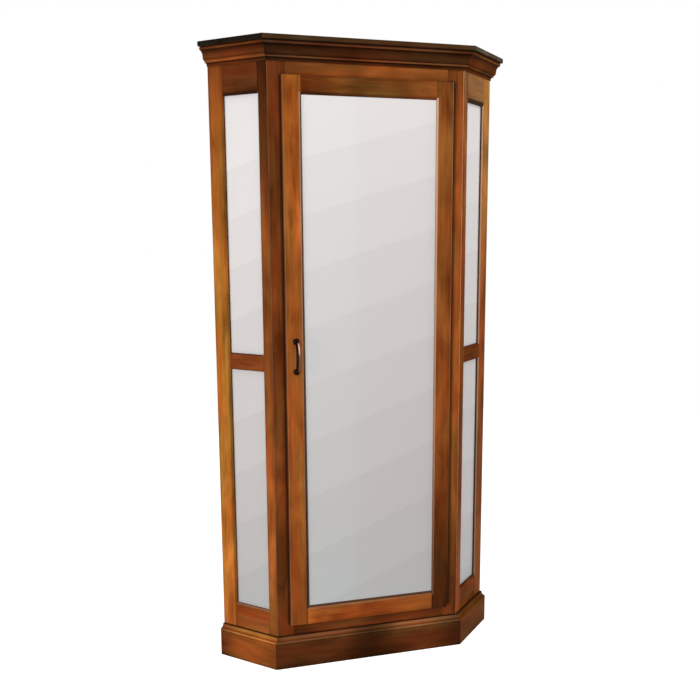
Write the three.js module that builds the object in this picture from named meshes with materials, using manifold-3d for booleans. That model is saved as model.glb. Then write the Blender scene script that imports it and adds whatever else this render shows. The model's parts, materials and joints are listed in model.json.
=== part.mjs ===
// A corner curio cabinet. Its front is parallel to X and faces -Y, each glazed side stands at half of a
// square room corner, and its two back panels lie against the walls. The sizes are in millimetres.
import * as THREE from "three";
import { mergeVertices } from "three/addons/utils/BufferGeometryUtils.js";
import { ConvexGeometry } from "three/addons/geometries/ConvexGeometry.js";
import Module from "manifold-3d";

const wasm = await Module();
wasm.setup();

// The whole cabinet
const overallHeight = 2000;
const frontWidth = 632; // between the two front corners
const sideLength = 222; // each angled side, from its front corner to the wall
const frameThickness = 20; // the front frame and the side frames
const sideAngle = Math.PI / 4; // half of the room's square corner

// How pieces meet
const seam = 0.3; // the hairline left between pieces that touch
const overrun = 1; // how far a cutter runs past the face that it cuts
const tenonLength = 20;
const tenonShoulder = 14; // the rail's edge above and below its tenon

// Cap and cornice
const capThickness = 15.5;
const capOverhang = 46;
const corniceHeight = 52.5;
const corniceProjection = 36;
const corniceTopFillet = 8.2;
const corniceWaistOut = 21.5; // where the ogee turns from its round to its hollow
const corniceWaistRise = 27;
const corniceLowLedge = 12.5; // how far out the ogee starts, on its low fillet
const corniceLowFillet = 4.5;
const corniceFootHeight = 9.5;
const corniceFootToe = 3;

// Plinth
const plinthHeight = 108;
const plinthProjection = 20.5;
const plinthFaceHeight = 93;
const plinthStep = 3;
const plinthCoveFootHeight = 2.5;
const plinthTopLedge = 7;

// Front frame
const faceStileWidth = 55;
const faceTopRailHeight = 104.5;
const faceRailDrop = 120; // the bottom rail's height below the deck's top
const faceTenonInset = 6;
const faceTenonThickness = 8;
const deckTop = 160; // the deck's top, level with the door opening's sill

// Side frames
const sideFrontStileWidth = 35;
const sideRearStileWidth = 56;
const sideTopRailHeight = 142.8;
const sideMidRailHeight = 53;
const sideMidRailLift = 1.8; // the mid rail's centre above the middle of the side's window
const sideBottomRailHeight = 150.7;
const sideRailFoot = 40; // the side's bottom rail stops this far above the floor
const sideBevelWidth = 4;
const sideBevelDepth = 4;
const sideLip = 10; // wood in front of the side glass
const sideTenonInset = 4;
const sideTenonThickness = 5.5;

// Glazing
const glassThickness = 4;
const rebateWidth = 10;
const glassClearance = 1.5; // between a pane's edge and its rebate

// Back, deck and ceiling
const backThickness = 6;
const backRebate = 10; // wood that covers the back panel's front edge
const backFoot = 10; // the back panels stop this far above the floor
const postWidth = 25;
const panelThickness = 18;

// Door
const doorOverlay = 12; // how far the door laps the front frame
const doorGap = 2; // between the door's back and the front frame
const doorThickness = 19;
const doorMemberWidth = 56;
const doorBevelWidth = 7;
const doorBevelDepth = 5.5;
const doorLip = 6; // wood in front of the door glass
const doorTenonInset = 6;
const doorTenonThickness = 6;

// Pull
const pullCentres = 96;
const pullHeight = 1042.5; // the pull's middle above the floor
const pullFromEdge = 30.5; // the pull's middle from the door's free edge
const pullProjection = 34;
const pullBowWidth = 12.5;
const pullBowThickness = 6.5;
const pullFootRadius = 10.2;
const pullFootHeight = 11;
const pullNeckRadius = 6.5;
const pullRimHeight = 2.5;
const pullScrewRadius = 2;
const pullScrewGrip = 7; // thread inside the foot
const pullScrewHeadRadius = 4;
const pullScrewHeadHeight = 2.2;

// Pivot hinges, one over and one under the door at its right edge
const pinFromEdge = 6; // from the door's hinged edge to the pin's axis
const pinFromBack = 12; // from the door's back face to the pin's axis
const pinRadius = 2.5;
const pinClearance = 0.25;
const pinReach = 12; // into the door
const pinHeadRadius = 4;
const pinHeadHeight = 1.2;
const leafThickness = 2;
const leafWidth = 10;
const leafGap = 0.8; // between the two leaves
const frameLeafHeight = 36;
const frameLeafNose = 5.5; // past the pin's axis
const doorLeafLength = 36;
const doorLeafNose = 4.5;
const doorLeafWidth = 9;

// Magnetic catch
const catchWidth = 14;
const catchDepth = 27;
const catchHeight = 46;
const strikeThickness = 1.4;
const strikeHeight = 24;
const strikeInset = 2; // from the door opening's edge to the strike

// Shelves and the standards that carry them
const shelfCount = 5;
const shelfThickness = 8;
const shelfSetback = 36; // from the front frame's face to the shelf's front edge
const shelfClearance = 2;
const standardWidth = 12;
const standardThickness = 5;
const standardCornerGap = 2;
const standardEndGap = 40;
const rearStandardPlace = 420; // along the back panel from the side's outer face
const clipReach = 22;
const clipThickness = 3;

// Smoothness of curves
const curveSteps = 10;
const roundSteps = 32;

// Values that follow from the sizes
const mitre = Math.tan(sideAngle / 2);
const mitreRelief = seam / 2 / Math.cos(sideAngle / 2);
const halfFront = frontWidth / 2;
const wallLength = (halfFront + sideLength * Math.cos(sideAngle)) / Math.sin(sideAngle);
const capUnderside = overallHeight - capThickness;
const frameTop = capUnderside - seam;
const corniceBottom = capUnderside - corniceHeight;
const sideWindowTop = capUnderside - sideTopRailHeight;
const sideWindowFoot = sideRailFoot + sideBottomRailHeight;
const sideMidRailCentre = (sideWindowTop + sideWindowFoot) / 2 + sideMidRailLift;
const openingHalf = halfFront - faceStileWidth;
const openingTop = capUnderside - faceTopRailHeight;
const doorHalf = openingHalf + doorOverlay;
const doorBottom = deckTop - doorOverlay;
const doorTop = openingTop + doorOverlay;
const doorBack = -doorGap;
const doorFront = doorBack - doorThickness;
const backFace = sideLength - backThickness; // the back panel's inner face, along the side
const shelfPitch = (openingTop - deckTop) / (shelfCount + 1);

// Materials
const finishes = {
  maple: { color: 0x8f4c22, roughness: 0.38, metalness: 0 },
  panel: { color: 0x9a6236, roughness: 0.55, metalness: 0 },
  glass: { color: 0xd8d8d6, roughness: 0.08, metalness: 0, transparent: true, opacity: 0.9 },
  bronze: { color: 0x1d1411, roughness: 0.35, metalness: 0.85 },
  steel: { color: 0xb4b4b0, roughness: 0.35, metalness: 1 },
  catch: { color: 0x3a2a20, roughness: 0.6, metalness: 0 },
};

// Adds one named piece to a group
function addPiece(group, name, finish, solid) {
  const mesh = new THREE.Mesh(geometryOf(solid), new THREE.MeshStandardMaterial(finishes[finish]));
  mesh.name = name;
  group.add(mesh);
}

// A closed geometry as a solid that can be joined and cut
function solidOf(geometry) {
  const bare = new THREE.BufferGeometry();
  bare.setAttribute("position", geometry.getAttribute("position"));
  bare.setIndex(geometry.getIndex());
  const merged = mergeVertices(bare);
  const vertProperties = new Float32Array(merged.getAttribute("position").array);
  const triVerts = new Uint32Array(merged.getIndex().array);
  return new wasm.Manifold(new wasm.Mesh({ numProp: 3, vertProperties, triVerts }));
}

// A solid as a flat-shaded geometry
function geometryOf(solid) {
  const mesh = solid.getMesh();
  const geometry = new THREE.BufferGeometry();
  geometry.setAttribute("position", new THREE.BufferAttribute(mesh.vertProperties, mesh.numProp));
  geometry.setIndex(new THREE.BufferAttribute(mesh.triVerts, 1));
  const flat = geometry.toNonIndexed();
  flat.computeVertexNormals();
  return flat;
}

function cutAll(solid, cutters) {
  return cutters.reduce((left, cutter) => left.subtract(cutter), solid);
}

// A block between two values along each axis, given in either order
function block([xa, xb], [ya, yb], [za, zb]) {
  const geometry = new THREE.BoxGeometry(Math.abs(xb - xa), Math.abs(yb - ya), Math.abs(zb - za));
  geometry.translate((xa + xb) / 2, (ya + yb) / 2, (za + zb) / 2);
  return solidOf(geometry);
}

// A plate with an outline in plan, between two heights
function plate(outline, [low, high]) {
  const shape = new THREE.Shape(outline);
  const geometry = new THREE.ExtrudeGeometry(shape, { depth: high - low, bevelEnabled: false });
  geometry.translate(0, 0, low);
  return solidOf(geometry);
}

// A range along an axis, widened by the same length at both ends
function widened([low, high], by) {
  return [Math.min(low, high) - by, Math.max(low, high) + by];
}

// A rail with a tenon at each end, and the cutter of the mortises that take the tenons
function tenonedRail(across, depths, heights, tenonDepths, cutters) {
  const tenonAcross = widened(across, tenonLength);
  const tenonHeights = widened(heights, -tenonShoulder);
  const board = block(across, depths, heights).add(block(tenonAcross, tenonDepths, tenonHeights));
  const mortise = block(widened(tenonAcross, seam), widened(tenonDepths, seam), widened(tenonHeights, seam));
  return { rail: cutAll(board, cutters), mortise };
}

// The solid that bevels the front edges of a window in a frame
function bevelCutter(across, heights, faceY, width, depth) {
  const points = [];
  for (const y of [faceY - overrun, faceY + depth + overrun]) {
    const grow = width * (1 - (y - faceY) / depth);
    for (const x of widened(across, grow)) {
      for (const z of widened(heights, grow)) points.push(new THREE.Vector3(x, y, z));
    }
  }
  return solidOf(new ConvexGeometry(points));
}

// A window's rebate behind its lip, open at the frame's back
function rebateCutter(across, heights, lipY, backY) {
  return block(widened(across, rebateWidth), [lipY, backY + overrun], widened(heights, rebateWidth));
}

// The pane that lies in a rebate, and the ring of beads that holds it
function pane(across, heights, lipY) {
  const grow = rebateWidth - glassClearance;
  const front = lipY + seam;
  return block(widened(across, grow), [front, front + glassThickness], widened(heights, grow));
}

function beadRing(across, heights, lipY, backY) {
  const front = lipY + seam + glassThickness + seam;
  const grow = rebateWidth - seam;
  const outer = block(widened(across, grow), [front, backY], widened(heights, grow));
  return outer.subtract(block(across, [front - overrun, backY + overrun], heights));
}

// A moulding that runs along X, from a profile of projection and height. Its ends are functions of the
// projection, so that they can be mitred.
function moulding(profile, lowEnd, highEnd) {
  const geometry = new THREE.ExtrudeGeometry(new THREE.Shape(profile), { depth: 1, bevelEnabled: false });
  const position = geometry.getAttribute("position");
  for (let i = 0; i < position.count; i++) {
    const out = position.getX(i);
    const x = THREE.MathUtils.lerp(highEnd(out), lowEnd(out), position.getZ(i));
    position.setXYZ(i, x, -out, position.getY(i));
  }
  return solidOf(geometry);
}

// A point in plan: a distance along a side from its front corner, and one inwards from its outer face
function sidePoint(hand, along, inwards) {
  const x = halfFront + along * Math.cos(sideAngle) - inwards * Math.sin(sideAngle);
  const y = along * Math.sin(sideAngle) + inwards * Math.cos(sideAngle);
  return new THREE.Vector2(hand * x, y);
}

// The outline of a board inside the cabinet, clear of the front, the sides, the back panels and the post
function insideOutline(front, side, back) {
  const along = (front - side * Math.cos(sideAngle)) / Math.sin(sideAngle);
  const rear = backFace - back;
  const notch = backThickness + seam + postWidth + back;
  const half = (hand) => [
    sidePoint(hand, along, side),
    sidePoint(hand, rear, side),
    sidePoint(hand, rear, wallLength - notch),
  ];
  const middle = sidePoint(1, sideLength - notch, wallLength - notch);
  return [...half(-1), middle, ...half(1).reverse()];
}

// The group of one side: X runs along the side, Y inwards
function sideGroup(hand) {
  const group = new THREE.Group();
  group.position.set(hand * halfFront, 0, 0);
  group.rotation.z = hand * sideAngle;
  return group;
}

// A range along a side, as X in its group
function alongSide(hand, from, to) {
  return [hand * from, hand * to];
}

function curvePoints(start, control, end) {
  return new THREE.QuadraticBezierCurve(start, control, end).getPoints(curveSteps);
}

function cornicePoints() {
  const point = (out, rise) => new THREE.Vector2(out, corniceBottom + rise);
  const lowFilletTop = corniceFootHeight + corniceLowFillet;
  const hollowTop = corniceHeight - corniceTopFillet - seam;
  const roundRun = corniceWaistOut - corniceLowLedge;
  const roundRise = corniceWaistRise - lowFilletTop;
  const hollowRun = corniceProjection - corniceWaistOut;
  const hollowRise = hollowTop - corniceWaistRise;
  const roundControlRunShare = 0.95;
  const roundControlRiseShare = 0.15;
  const hollowControlRunShare = 0.06;
  const hollowControlRiseShare = 0.8;
  const hollowEndRunShare = 0.88;
  const foot = curvePoints(
    point(corniceFootToe, corniceFootToe),
    point(corniceFootToe, corniceFootHeight),
    point(corniceLowLedge - corniceFootToe, corniceFootHeight),
  );
  const round = curvePoints(
    point(corniceLowLedge, lowFilletTop),
    point(corniceLowLedge + roundRun * roundControlRunShare, lowFilletTop + roundRise * roundControlRiseShare),
    point(corniceWaistOut, corniceWaistRise),
  );
  const hollow = curvePoints(
    point(corniceWaistOut, corniceWaistRise),
    point(corniceWaistOut + hollowRun * hollowControlRunShare, corniceWaistRise + hollowRise * hollowControlRiseShare),
    point(corniceWaistOut + hollowRun * hollowEndRunShare, hollowTop),
  );
  return [
    point(seam, 0),
    point(corniceFootToe, 0),
    ...foot,
    point(corniceLowLedge, corniceFootHeight),
    ...round,
    ...hollow.slice(1),
    point(corniceProjection, hollowTop),
    point(corniceProjection, corniceHeight - seam),
    point(seam, corniceHeight - seam),
  ];
}

function plinthPoints() {
  const coveOut = plinthProjection - plinthStep;
  const coveFoot = plinthFaceHeight + plinthCoveFootHeight;
  const cove = curvePoints(
    new THREE.Vector2(coveOut, coveFoot),
    new THREE.Vector2(plinthTopLedge, coveFoot),
    new THREE.Vector2(plinthTopLedge, plinthHeight),
  );
  return [
    new THREE.Vector2(seam, 0),
    new THREE.Vector2(plinthProjection, 0),
    new THREE.Vector2(plinthProjection, plinthFaceHeight),
    new THREE.Vector2(coveOut, plinthFaceHeight),
    ...cove,
    new THREE.Vector2(seam, plinthHeight),
  ];
}

const model = new THREE.Group();

// The origin is below the middle of the whole cabinet, from the pull's bow to the room's corner
const frontReach = doorGap + doorThickness + pullProjection;
const backReach = sidePoint(1, sideLength, wallLength).y;
model.position.y = (frontReach - backReach) / 2;

addFaceFrame();
for (const [hand, word] of [[-1, "left"], [1, "right"]]) addSide(hand, word);
addBoards();
addDoor();
addPull();
addHinges();
addCatch();
addShelves();

export default model;

function addFaceFrame() {
  const rails = {
    face_top_rail: [openingTop, frameTop],
    face_bottom_rail: [deckTop - faceRailDrop, deckTop],
  };
  const across = [-openingHalf + seam, openingHalf - seam];
  const tenonDepths = [faceTenonInset, faceTenonInset + faceTenonThickness];
  const mortises = [];
  for (const [name, heights] of Object.entries(rails)) {
    const { rail, mortise } = tenonedRail(across, [0, frameThickness], heights, tenonDepths, []);
    addPiece(model, name, "maple", rail);
    mortises.push(mortise);
  }
  for (const [hand, word] of [[-1, "left"], [1, "right"]]) {
    const outline = [
      new THREE.Vector2(hand * (halfFront - mitreRelief), 0),
      new THREE.Vector2(hand * openingHalf, 0),
      new THREE.Vector2(hand * openingHalf, frameThickness),
      new THREE.Vector2(hand * (halfFront - mitreRelief - frameThickness * mitre), frameThickness),
    ];
    const recesses = hand > 0 ? [frameLeafRecess(1), frameLeafRecess(-1)] : [];
    const stile = cutAll(plate(outline, [0, frameTop]), [...mortises, ...recesses]);
    addPiece(model, `face_${word}_stile`, "maple", stile);
  }
}

function addSide(hand, word) {
  const group = sideGroup(hand);
  model.add(group);
  const windowAcross = alongSide(hand, sideFrontStileWidth, sideLength - sideRearStileWidth);
  const windows = {
    upper: [sideMidRailCentre + sideMidRailHeight / 2, sideWindowTop],
    lower: [sideWindowFoot, sideMidRailCentre - sideMidRailHeight / 2],
  };
  const cutters = Object.values(windows).flatMap((heights) => [
    bevelCutter(windowAcross, heights, 0, sideBevelWidth, sideBevelDepth),
    rebateCutter(windowAcross, heights, sideLip, frameThickness),
  ]);

  // Rails, tenoned into both stiles
  const rails = {
    top: [windows.upper[1], frameTop],
    mid: [windows.lower[1], windows.upper[0]],
    bottom: [sideRailFoot, windows.lower[0]],
  };
  const railAcross = widened(windowAcross, -seam);
  const tenonDepths = [sideTenonInset, sideTenonInset + sideTenonThickness];
  const mortises = [];
  for (const [place, heights] of Object.entries(rails)) {
    const { rail, mortise } = tenonedRail(railAcross, [0, frameThickness], heights, tenonDepths, cutters);
    addPiece(group, `${word}_${place}_rail`, "maple", rail);
    mortises.push(mortise);
  }

  // Stiles
  const frontOutline = [
    new THREE.Vector2(hand * mitreRelief, 0),
    new THREE.Vector2(hand * sideFrontStileWidth, 0),
    new THREE.Vector2(hand * sideFrontStileWidth, frameThickness),
    new THREE.Vector2(hand * (mitreRelief + frameThickness * mitre), frameThickness),
  ];
  const frontStile = cutAll(plate(frontOutline, [0, frameTop]), [...cutters, ...mortises]);
  addPiece(group, `${word}_front_stile`, "maple", frontStile);
  const rearAcross = alongSide(hand, sideLength - sideRearStileWidth, sideLength);
  const backRebateCutter = block(
    alongSide(hand, backFace - seam, sideLength + overrun),
    [backRebate, frameThickness + overrun],
    [-overrun, overallHeight],
  );
  const rearBoard = block(rearAcross, [0, frameThickness], [0, frameTop]);
  const rearStile = cutAll(rearBoard, [...cutters, ...mortises, backRebateCutter]);
  addPiece(group, `${word}_rear_stile`, "maple", rearStile);

  // Glass and beads
  for (const [place, heights] of Object.entries(windows)) {
    addPiece(group, `${word}_${place}_glass`, "glass", pane(windowAcross, heights, sideLip));
    const beads = beadRing(windowAcross, heights, sideLip, frameThickness);
    addPiece(group, `${word}_${place}_bead`, "maple", beads);
  }

  // Back panel: the left one runs to the room's corner and the right one butts against it
  const panelEnd = hand < 0 ? wallLength : wallLength - backThickness - seam;
  const panelAlong = alongSide(hand, backFace, sideLength);
  const panel = block(panelAlong, [backRebate + seam, panelEnd], [backFoot, frameTop]);
  addPiece(group, `${word}_back_panel`, "panel", panel);

  // Cornice and plinth, mitred at the front corner and square at the wall
  const frontEnd = (out) => hand * (mitreRelief - out * mitre);
  const wallEnd = () => hand * sideLength;
  const ends = hand < 0 ? [wallEnd, frontEnd] : [frontEnd, wallEnd];
  addPiece(group, `${word}_cornice`, "maple", moulding(cornicePoints(), ...ends));
  addPiece(group, `${word}_plinth`, "maple", moulding(plinthPoints(), ...ends));
}

function addBoards() {
  const frontEnd = (out) => halfFront - mitreRelief + out * mitre;
  const otherEnd = (out) => -frontEnd(out);
  addPiece(model, "front_cornice", "maple", moulding(cornicePoints(), otherEnd, frontEnd));
  addPiece(model, "front_plinth", "maple", moulding(plinthPoints(), otherEnd, frontEnd));

  const inner = frameThickness + seam;
  const boardOutline = insideOutline(inner, inner, seam);
  addPiece(model, "deck", "panel", plate(boardOutline, [deckTop - panelThickness, deckTop]));
  addPiece(model, "ceiling", "panel", plate(boardOutline, [openingTop, openingTop + panelThickness]));

  const postNear = backThickness + seam;
  const postFar = postNear + postWidth;
  const postOutline = [
    sidePoint(1, sideLength - postNear, wallLength - postNear),
    sidePoint(1, sideLength - postNear, wallLength - postFar),
    sidePoint(1, sideLength - postFar, wallLength - postFar),
    sidePoint(1, sideLength - postFar, wallLength - postNear),
  ];
  addPiece(model, "rear_post", "maple", plate(postOutline, [0, frameTop]));

  const capOutline = [
    sidePoint(-1, -capOverhang * mitre, -capOverhang),
    sidePoint(-1, sideLength, -capOverhang),
    sidePoint(1, sideLength, wallLength),
    sidePoint(1, sideLength, -capOverhang),
    sidePoint(1, -capOverhang * mitre, -capOverhang),
  ];
  addPiece(model, "cap", "maple", plate(capOutline, [capUnderside, overallHeight]));
}

function addDoor() {
  const windowHalf = doorHalf - doorMemberWidth;
  const windowAcross = [-windowHalf, windowHalf];
  const windowHeights = [doorBottom + doorMemberWidth, doorTop - doorMemberWidth];
  const lipY = doorFront + doorLip;
  const cutters = [
    bevelCutter(windowAcross, windowHeights, doorFront, doorBevelWidth, doorBevelDepth),
    rebateCutter(windowAcross, windowHeights, lipY, doorBack),
  ];
  const rails = {
    door_top_rail: [windowHeights[1], doorTop],
    door_bottom_rail: [doorBottom, windowHeights[0]],
  };
  const railAcross = widened(windowAcross, -seam);
  const tenonFront = doorFront + doorTenonInset;
  const tenonDepths = [tenonFront, tenonFront + doorTenonThickness];
  const mortises = [];
  for (const [name, heights] of Object.entries(rails)) {
    const { rail, mortise } = tenonedRail(railAcross, [doorFront, doorBack], heights, tenonDepths, cutters);
    addPiece(model, name, "maple", rail);
    mortises.push(mortise);
  }
  for (const [hand, word] of [[-1, "left"], [1, "right"]]) {
    const across = [hand * windowHalf, hand * doorHalf];
    const ironwork = hand > 0 ? [...doorLeafRecess(1), ...doorLeafRecess(-1)] : pullScrewHoles();
    const board = block(across, [doorFront, doorBack], [doorBottom, doorTop]);
    addPiece(model, `door_${word}_stile`, "maple", cutAll(board, [...cutters, ...mortises, ...ironwork]));
  }
  addPiece(model, "door_glass", "glass", pane(windowAcross, windowHeights, lipY));
  addPiece(model, "door_bead", "maple", beadRing(windowAcross, windowHeights, lipY, doorBack));
}

// A round bar along Y, between two values of Y
function crossBar(x, z, radius, [near, far]) {
  const geometry = new THREE.CylinderGeometry(radius, radius, far - near, roundSteps);
  geometry.translate(x, (near + far) / 2, z);
  return solidOf(geometry);
}

function pullPlaces() {
  return { upper: pullHeight + pullCentres / 2, lower: pullHeight - pullCentres / 2 };
}

function pullScrewHoles() {
  const x = -doorHalf + pullFromEdge;
  const reach = [doorFront - overrun, doorBack + overrun];
  return Object.values(pullPlaces()).map((z) => crossBar(x, z, pullScrewRadius + seam, reach));
}

// The pull: a domed foot at each end and a bow between them, with a blind hole for each screw
function addPull() {
  const x = -doorHalf + pullFromEdge;
  const baseY = doorFront - seam;
  const domeSteps = 8;
  const bowInner = pullFootHeight - pullBowThickness / 2;
  const footProfile = [new THREE.Vector2(0, 0), new THREE.Vector2(pullFootRadius, 0)];
  for (let i = 0; i <= domeSteps; i++) {
    const turn = (i / domeSteps) * (Math.PI / 2);
    const radius = pullNeckRadius + (pullFootRadius - pullNeckRadius) * Math.cos(turn);
    const rise = (pullFootHeight - pullRimHeight) * Math.sin(turn);
    footProfile.push(new THREE.Vector2(radius, pullRimHeight + rise));
  }
  footProfile.push(new THREE.Vector2(0, pullFootHeight));

  const rise = pullProjection - pullBowThickness / 2 - bowInner;
  const bowPoints = [];
  const bowSteps = 20;
  for (let i = 0; i <= bowSteps; i++) {
    const turn = (i / bowSteps) * Math.PI;
    const out = bowInner + rise * Math.sin(turn);
    const z = pullHeight - (pullCentres / 2) * Math.cos(turn);
    bowPoints.push(new THREE.Vector3(x, baseY + seam - out, z));
  }
  const section = new THREE.Shape();
  section.absellipse(0, 0, pullBowWidth / 2, pullBowThickness / 2, 0, 2 * Math.PI);
  const path = new THREE.CatmullRomCurve3(bowPoints);
  const bow = new THREE.ExtrudeGeometry(section, {
    steps: bowSteps,
    curveSegments: domeSteps,
    extrudePath: path,
    bevelEnabled: false,
  });

  let pull = solidOf(bow);
  for (const [place, z] of Object.entries(pullPlaces())) {
    const foot = new THREE.LatheGeometry(footProfile, roundSteps);
    foot.rotateX(Math.PI);
    foot.translate(x, baseY, z);
    pull = pull.add(solidOf(foot));
    const threadEnd = baseY - pullScrewGrip;
    const hole = crossBar(x, z, pullScrewRadius + seam, [threadEnd - seam, baseY + overrun]);
    pull = pull.subtract(hole);
    const shank = crossBar(x, z, pullScrewRadius, [threadEnd, doorBack + seam + pullScrewHeadHeight / 2]);
    const headNear = doorBack + seam;
    const head = crossBar(x, z, pullScrewHeadRadius, [headNear, headNear + pullScrewHeadHeight]);
    addPiece(model, `pull_${place}_screw`, "steel", shank.add(head));
  }
  addPiece(model, "door_pull", "bronze", pull);
}

// Where a hinge's leaves lie: up is 1 over the door and -1 under it
function hingePlace(up) {
  return {
    x: doorHalf - pinFromEdge,
    y: doorBack - pinFromBack,
    edge: up > 0 ? doorTop : doorBottom,
    tongue: leafGap + leafThickness,
  };
}

function frameLeafRecess(up) {
  const { x, edge, tongue } = hingePlace(up);
  const heights = [edge - up * (frameLeafHeight + seam), edge + up * (tongue + seam)];
  return block(widened([x, x], leafWidth / 2 + seam), [-overrun, leafThickness + seam], heights);
}

function doorLeafRecess(up) {
  const { x, y, edge } = hingePlace(up);
  const plateCut = block(
    widened([x + doorLeafNose - doorLeafLength, x + doorLeafNose], seam),
    widened([y, y], doorLeafWidth / 2 + seam),
    [edge - up * (leafThickness + seam), edge + up * overrun],
  );
  return [plateCut, uprightBar(x, y, pinRadius + pinClearance + seam, [edge - up * (pinReach + seam), edge])];
}

// A round bar along Z, between two heights given in either order
function uprightBar(x, y, radius, [za, zb]) {
  const geometry = new THREE.CylinderGeometry(radius, radius, Math.abs(zb - za), roundSteps);
  geometry.rotateX(Math.PI / 2);
  geometry.translate(x, y, (za + zb) / 2);
  return solidOf(geometry);
}

function addHinges() {
  for (const [up, word] of [[1, "upper"], [-1, "lower"]]) {
    const { x, y, edge, tongue } = hingePlace(up);
    const hole = uprightBar(x, y, pinRadius + pinClearance, widened([edge - tongue, edge + tongue], overrun));
    const across = widened([x, x], leafWidth / 2);
    const upright = block(across, [0, leafThickness], [edge - up * frameLeafHeight, edge + up * tongue]);
    const armDepths = [y - frameLeafNose, leafThickness];
    const arm = block(across, armDepths, [edge + up * leafGap, edge + up * tongue]);
    addPiece(model, `${word}_hinge_frame_leaf`, "steel", upright.add(arm).subtract(hole));

    const doorLeaf = block(
      [x + doorLeafNose - doorLeafLength, x + doorLeafNose],
      widened([y, y], doorLeafWidth / 2),
      [edge - up * leafThickness, edge],
    );
    addPiece(model, `${word}_hinge_door_leaf`, "steel", doorLeaf.subtract(hole));

    const headNear = edge + up * (tongue + seam);
    const headFar = headNear + up * pinHeadHeight;
    const shank = uprightBar(x, y, pinRadius, [edge - up * pinReach, headFar]);
    const head = uprightBar(x, y, pinHeadRadius, [headNear, headFar]);
    addPiece(model, `${word}_hinge_pin`, "steel", shank.add(head));
  }
}

// The magnet on the front frame's left stile, and the strike on the door's back
function addCatch() {
  const heights = widened([pullHeight, pullHeight], catchHeight / 2);
  const edge = -openingHalf + seam;
  const body = block([edge, edge + catchWidth], [seam, seam + catchDepth], heights);
  addPiece(model, "catch_body", "catch", body);
  const strikeAcross = [edge + strikeInset, edge + catchWidth];
  const strikeDepths = [doorBack + seam, doorBack + seam + strikeThickness];
  const strikeHeights = widened([pullHeight, pullHeight], strikeHeight / 2);
  addPiece(model, "catch_strike", "steel", block(strikeAcross, strikeDepths, strikeHeights));
}

function addShelves() {
  const levels = [];
  for (let i = 1; i <= shelfCount; i++) levels.push(deckTop + i * shelfPitch - shelfThickness / 2);
  const side = frameThickness + seam + standardThickness + shelfClearance;
  const outline = insideOutline(shelfSetback, side, seam + standardThickness + shelfClearance);
  levels.forEach((level, index) => {
    addPiece(model, `shelf_${index + 1}`, "glass", plate(outline, [level, level + shelfThickness]));
  });

  const heights = [deckTop + standardEndGap, openingTop - standardEndGap];
  const clipHeights = levels.map((level) => [level - seam - clipThickness, level - seam]);
  for (const [hand, word] of [[-1, "left"], [1, "right"]]) {
    const group = sideGroup(hand);
    model.add(group);
    const inner = frameThickness + seam;
    const corner = frameThickness * mitre + standardCornerGap;
    const frontAlong = alongSide(hand, corner, corner + standardWidth);
    let front = block(frontAlong, [inner, inner + standardThickness], heights);
    const rearFar = backFace - seam;
    const rearInwards = [rearStandardPlace, rearStandardPlace + standardWidth];
    let rear = block(alongSide(hand, rearFar - standardThickness, rearFar), rearInwards, heights);
    for (const clip of clipHeights) {
      front = front.add(block(frontAlong, [inner, inner + standardThickness + clipReach], clip));
      const rearClipAlong = alongSide(hand, rearFar - standardThickness - clipReach, rearFar);
      rear = rear.add(block(rearClipAlong, rearInwards, clip));
    }
    addPiece(group, `${word}_front_standard`, "steel", front);
    addPiece(group, `${word}_rear_standard`, "steel", rear);
  }
}
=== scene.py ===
# %% [markdown]
# # A corner curio cabinet
# The real cabinet is a tall wooden case for the corner of a room. A glazed door fills its front, two
# glazed sides stand at half of a right angle to it, and two thin back panels lie against the walls. A
# cornice and a plinth go round its head and its foot.
#
# Its boards were cut and fitted before this script starts, at their true size. This script gives them
# what a workshop gives them afterwards: eased edges, stain and lacquer, glazing, a bronze pull, screws
# and felt. Everything is in metres, with Z up and the front facing -Y.

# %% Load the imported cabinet
import json
import math
import random
from contextlib import contextmanager
from itertools import zip_longest

import bpy
from mathutils import Matrix, Vector

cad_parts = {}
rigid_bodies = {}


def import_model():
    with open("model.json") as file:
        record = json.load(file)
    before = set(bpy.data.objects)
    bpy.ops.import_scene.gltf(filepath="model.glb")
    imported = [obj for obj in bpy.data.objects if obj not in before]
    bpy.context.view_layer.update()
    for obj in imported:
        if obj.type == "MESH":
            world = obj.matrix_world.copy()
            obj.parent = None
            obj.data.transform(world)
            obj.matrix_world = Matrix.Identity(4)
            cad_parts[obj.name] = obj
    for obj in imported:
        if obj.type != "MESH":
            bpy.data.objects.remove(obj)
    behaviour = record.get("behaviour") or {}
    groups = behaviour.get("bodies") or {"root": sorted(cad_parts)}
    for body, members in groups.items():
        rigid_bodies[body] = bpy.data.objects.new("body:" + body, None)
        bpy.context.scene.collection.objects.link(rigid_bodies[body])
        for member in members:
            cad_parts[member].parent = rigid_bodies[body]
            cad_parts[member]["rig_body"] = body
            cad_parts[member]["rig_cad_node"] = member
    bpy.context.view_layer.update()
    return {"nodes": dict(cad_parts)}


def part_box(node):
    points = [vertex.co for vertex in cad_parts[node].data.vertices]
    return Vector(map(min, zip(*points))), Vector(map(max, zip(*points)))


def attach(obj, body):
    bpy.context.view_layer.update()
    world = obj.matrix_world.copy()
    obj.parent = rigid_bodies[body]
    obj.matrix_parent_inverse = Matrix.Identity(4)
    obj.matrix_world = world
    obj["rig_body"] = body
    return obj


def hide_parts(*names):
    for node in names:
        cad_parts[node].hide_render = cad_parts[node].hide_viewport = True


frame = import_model()

# %% [markdown]
# ## The camera
# The photograph was taken from the cabinet's left, a little above the middle of the door. The straight
# edges of the cabinet in the picture tell where the camera stood. A picture that was cropped has its
# lens axis away from its middle, and a camera's shift does the same. The other way, turning the camera
# until the cabinet is centred, would change its perspective.

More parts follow.
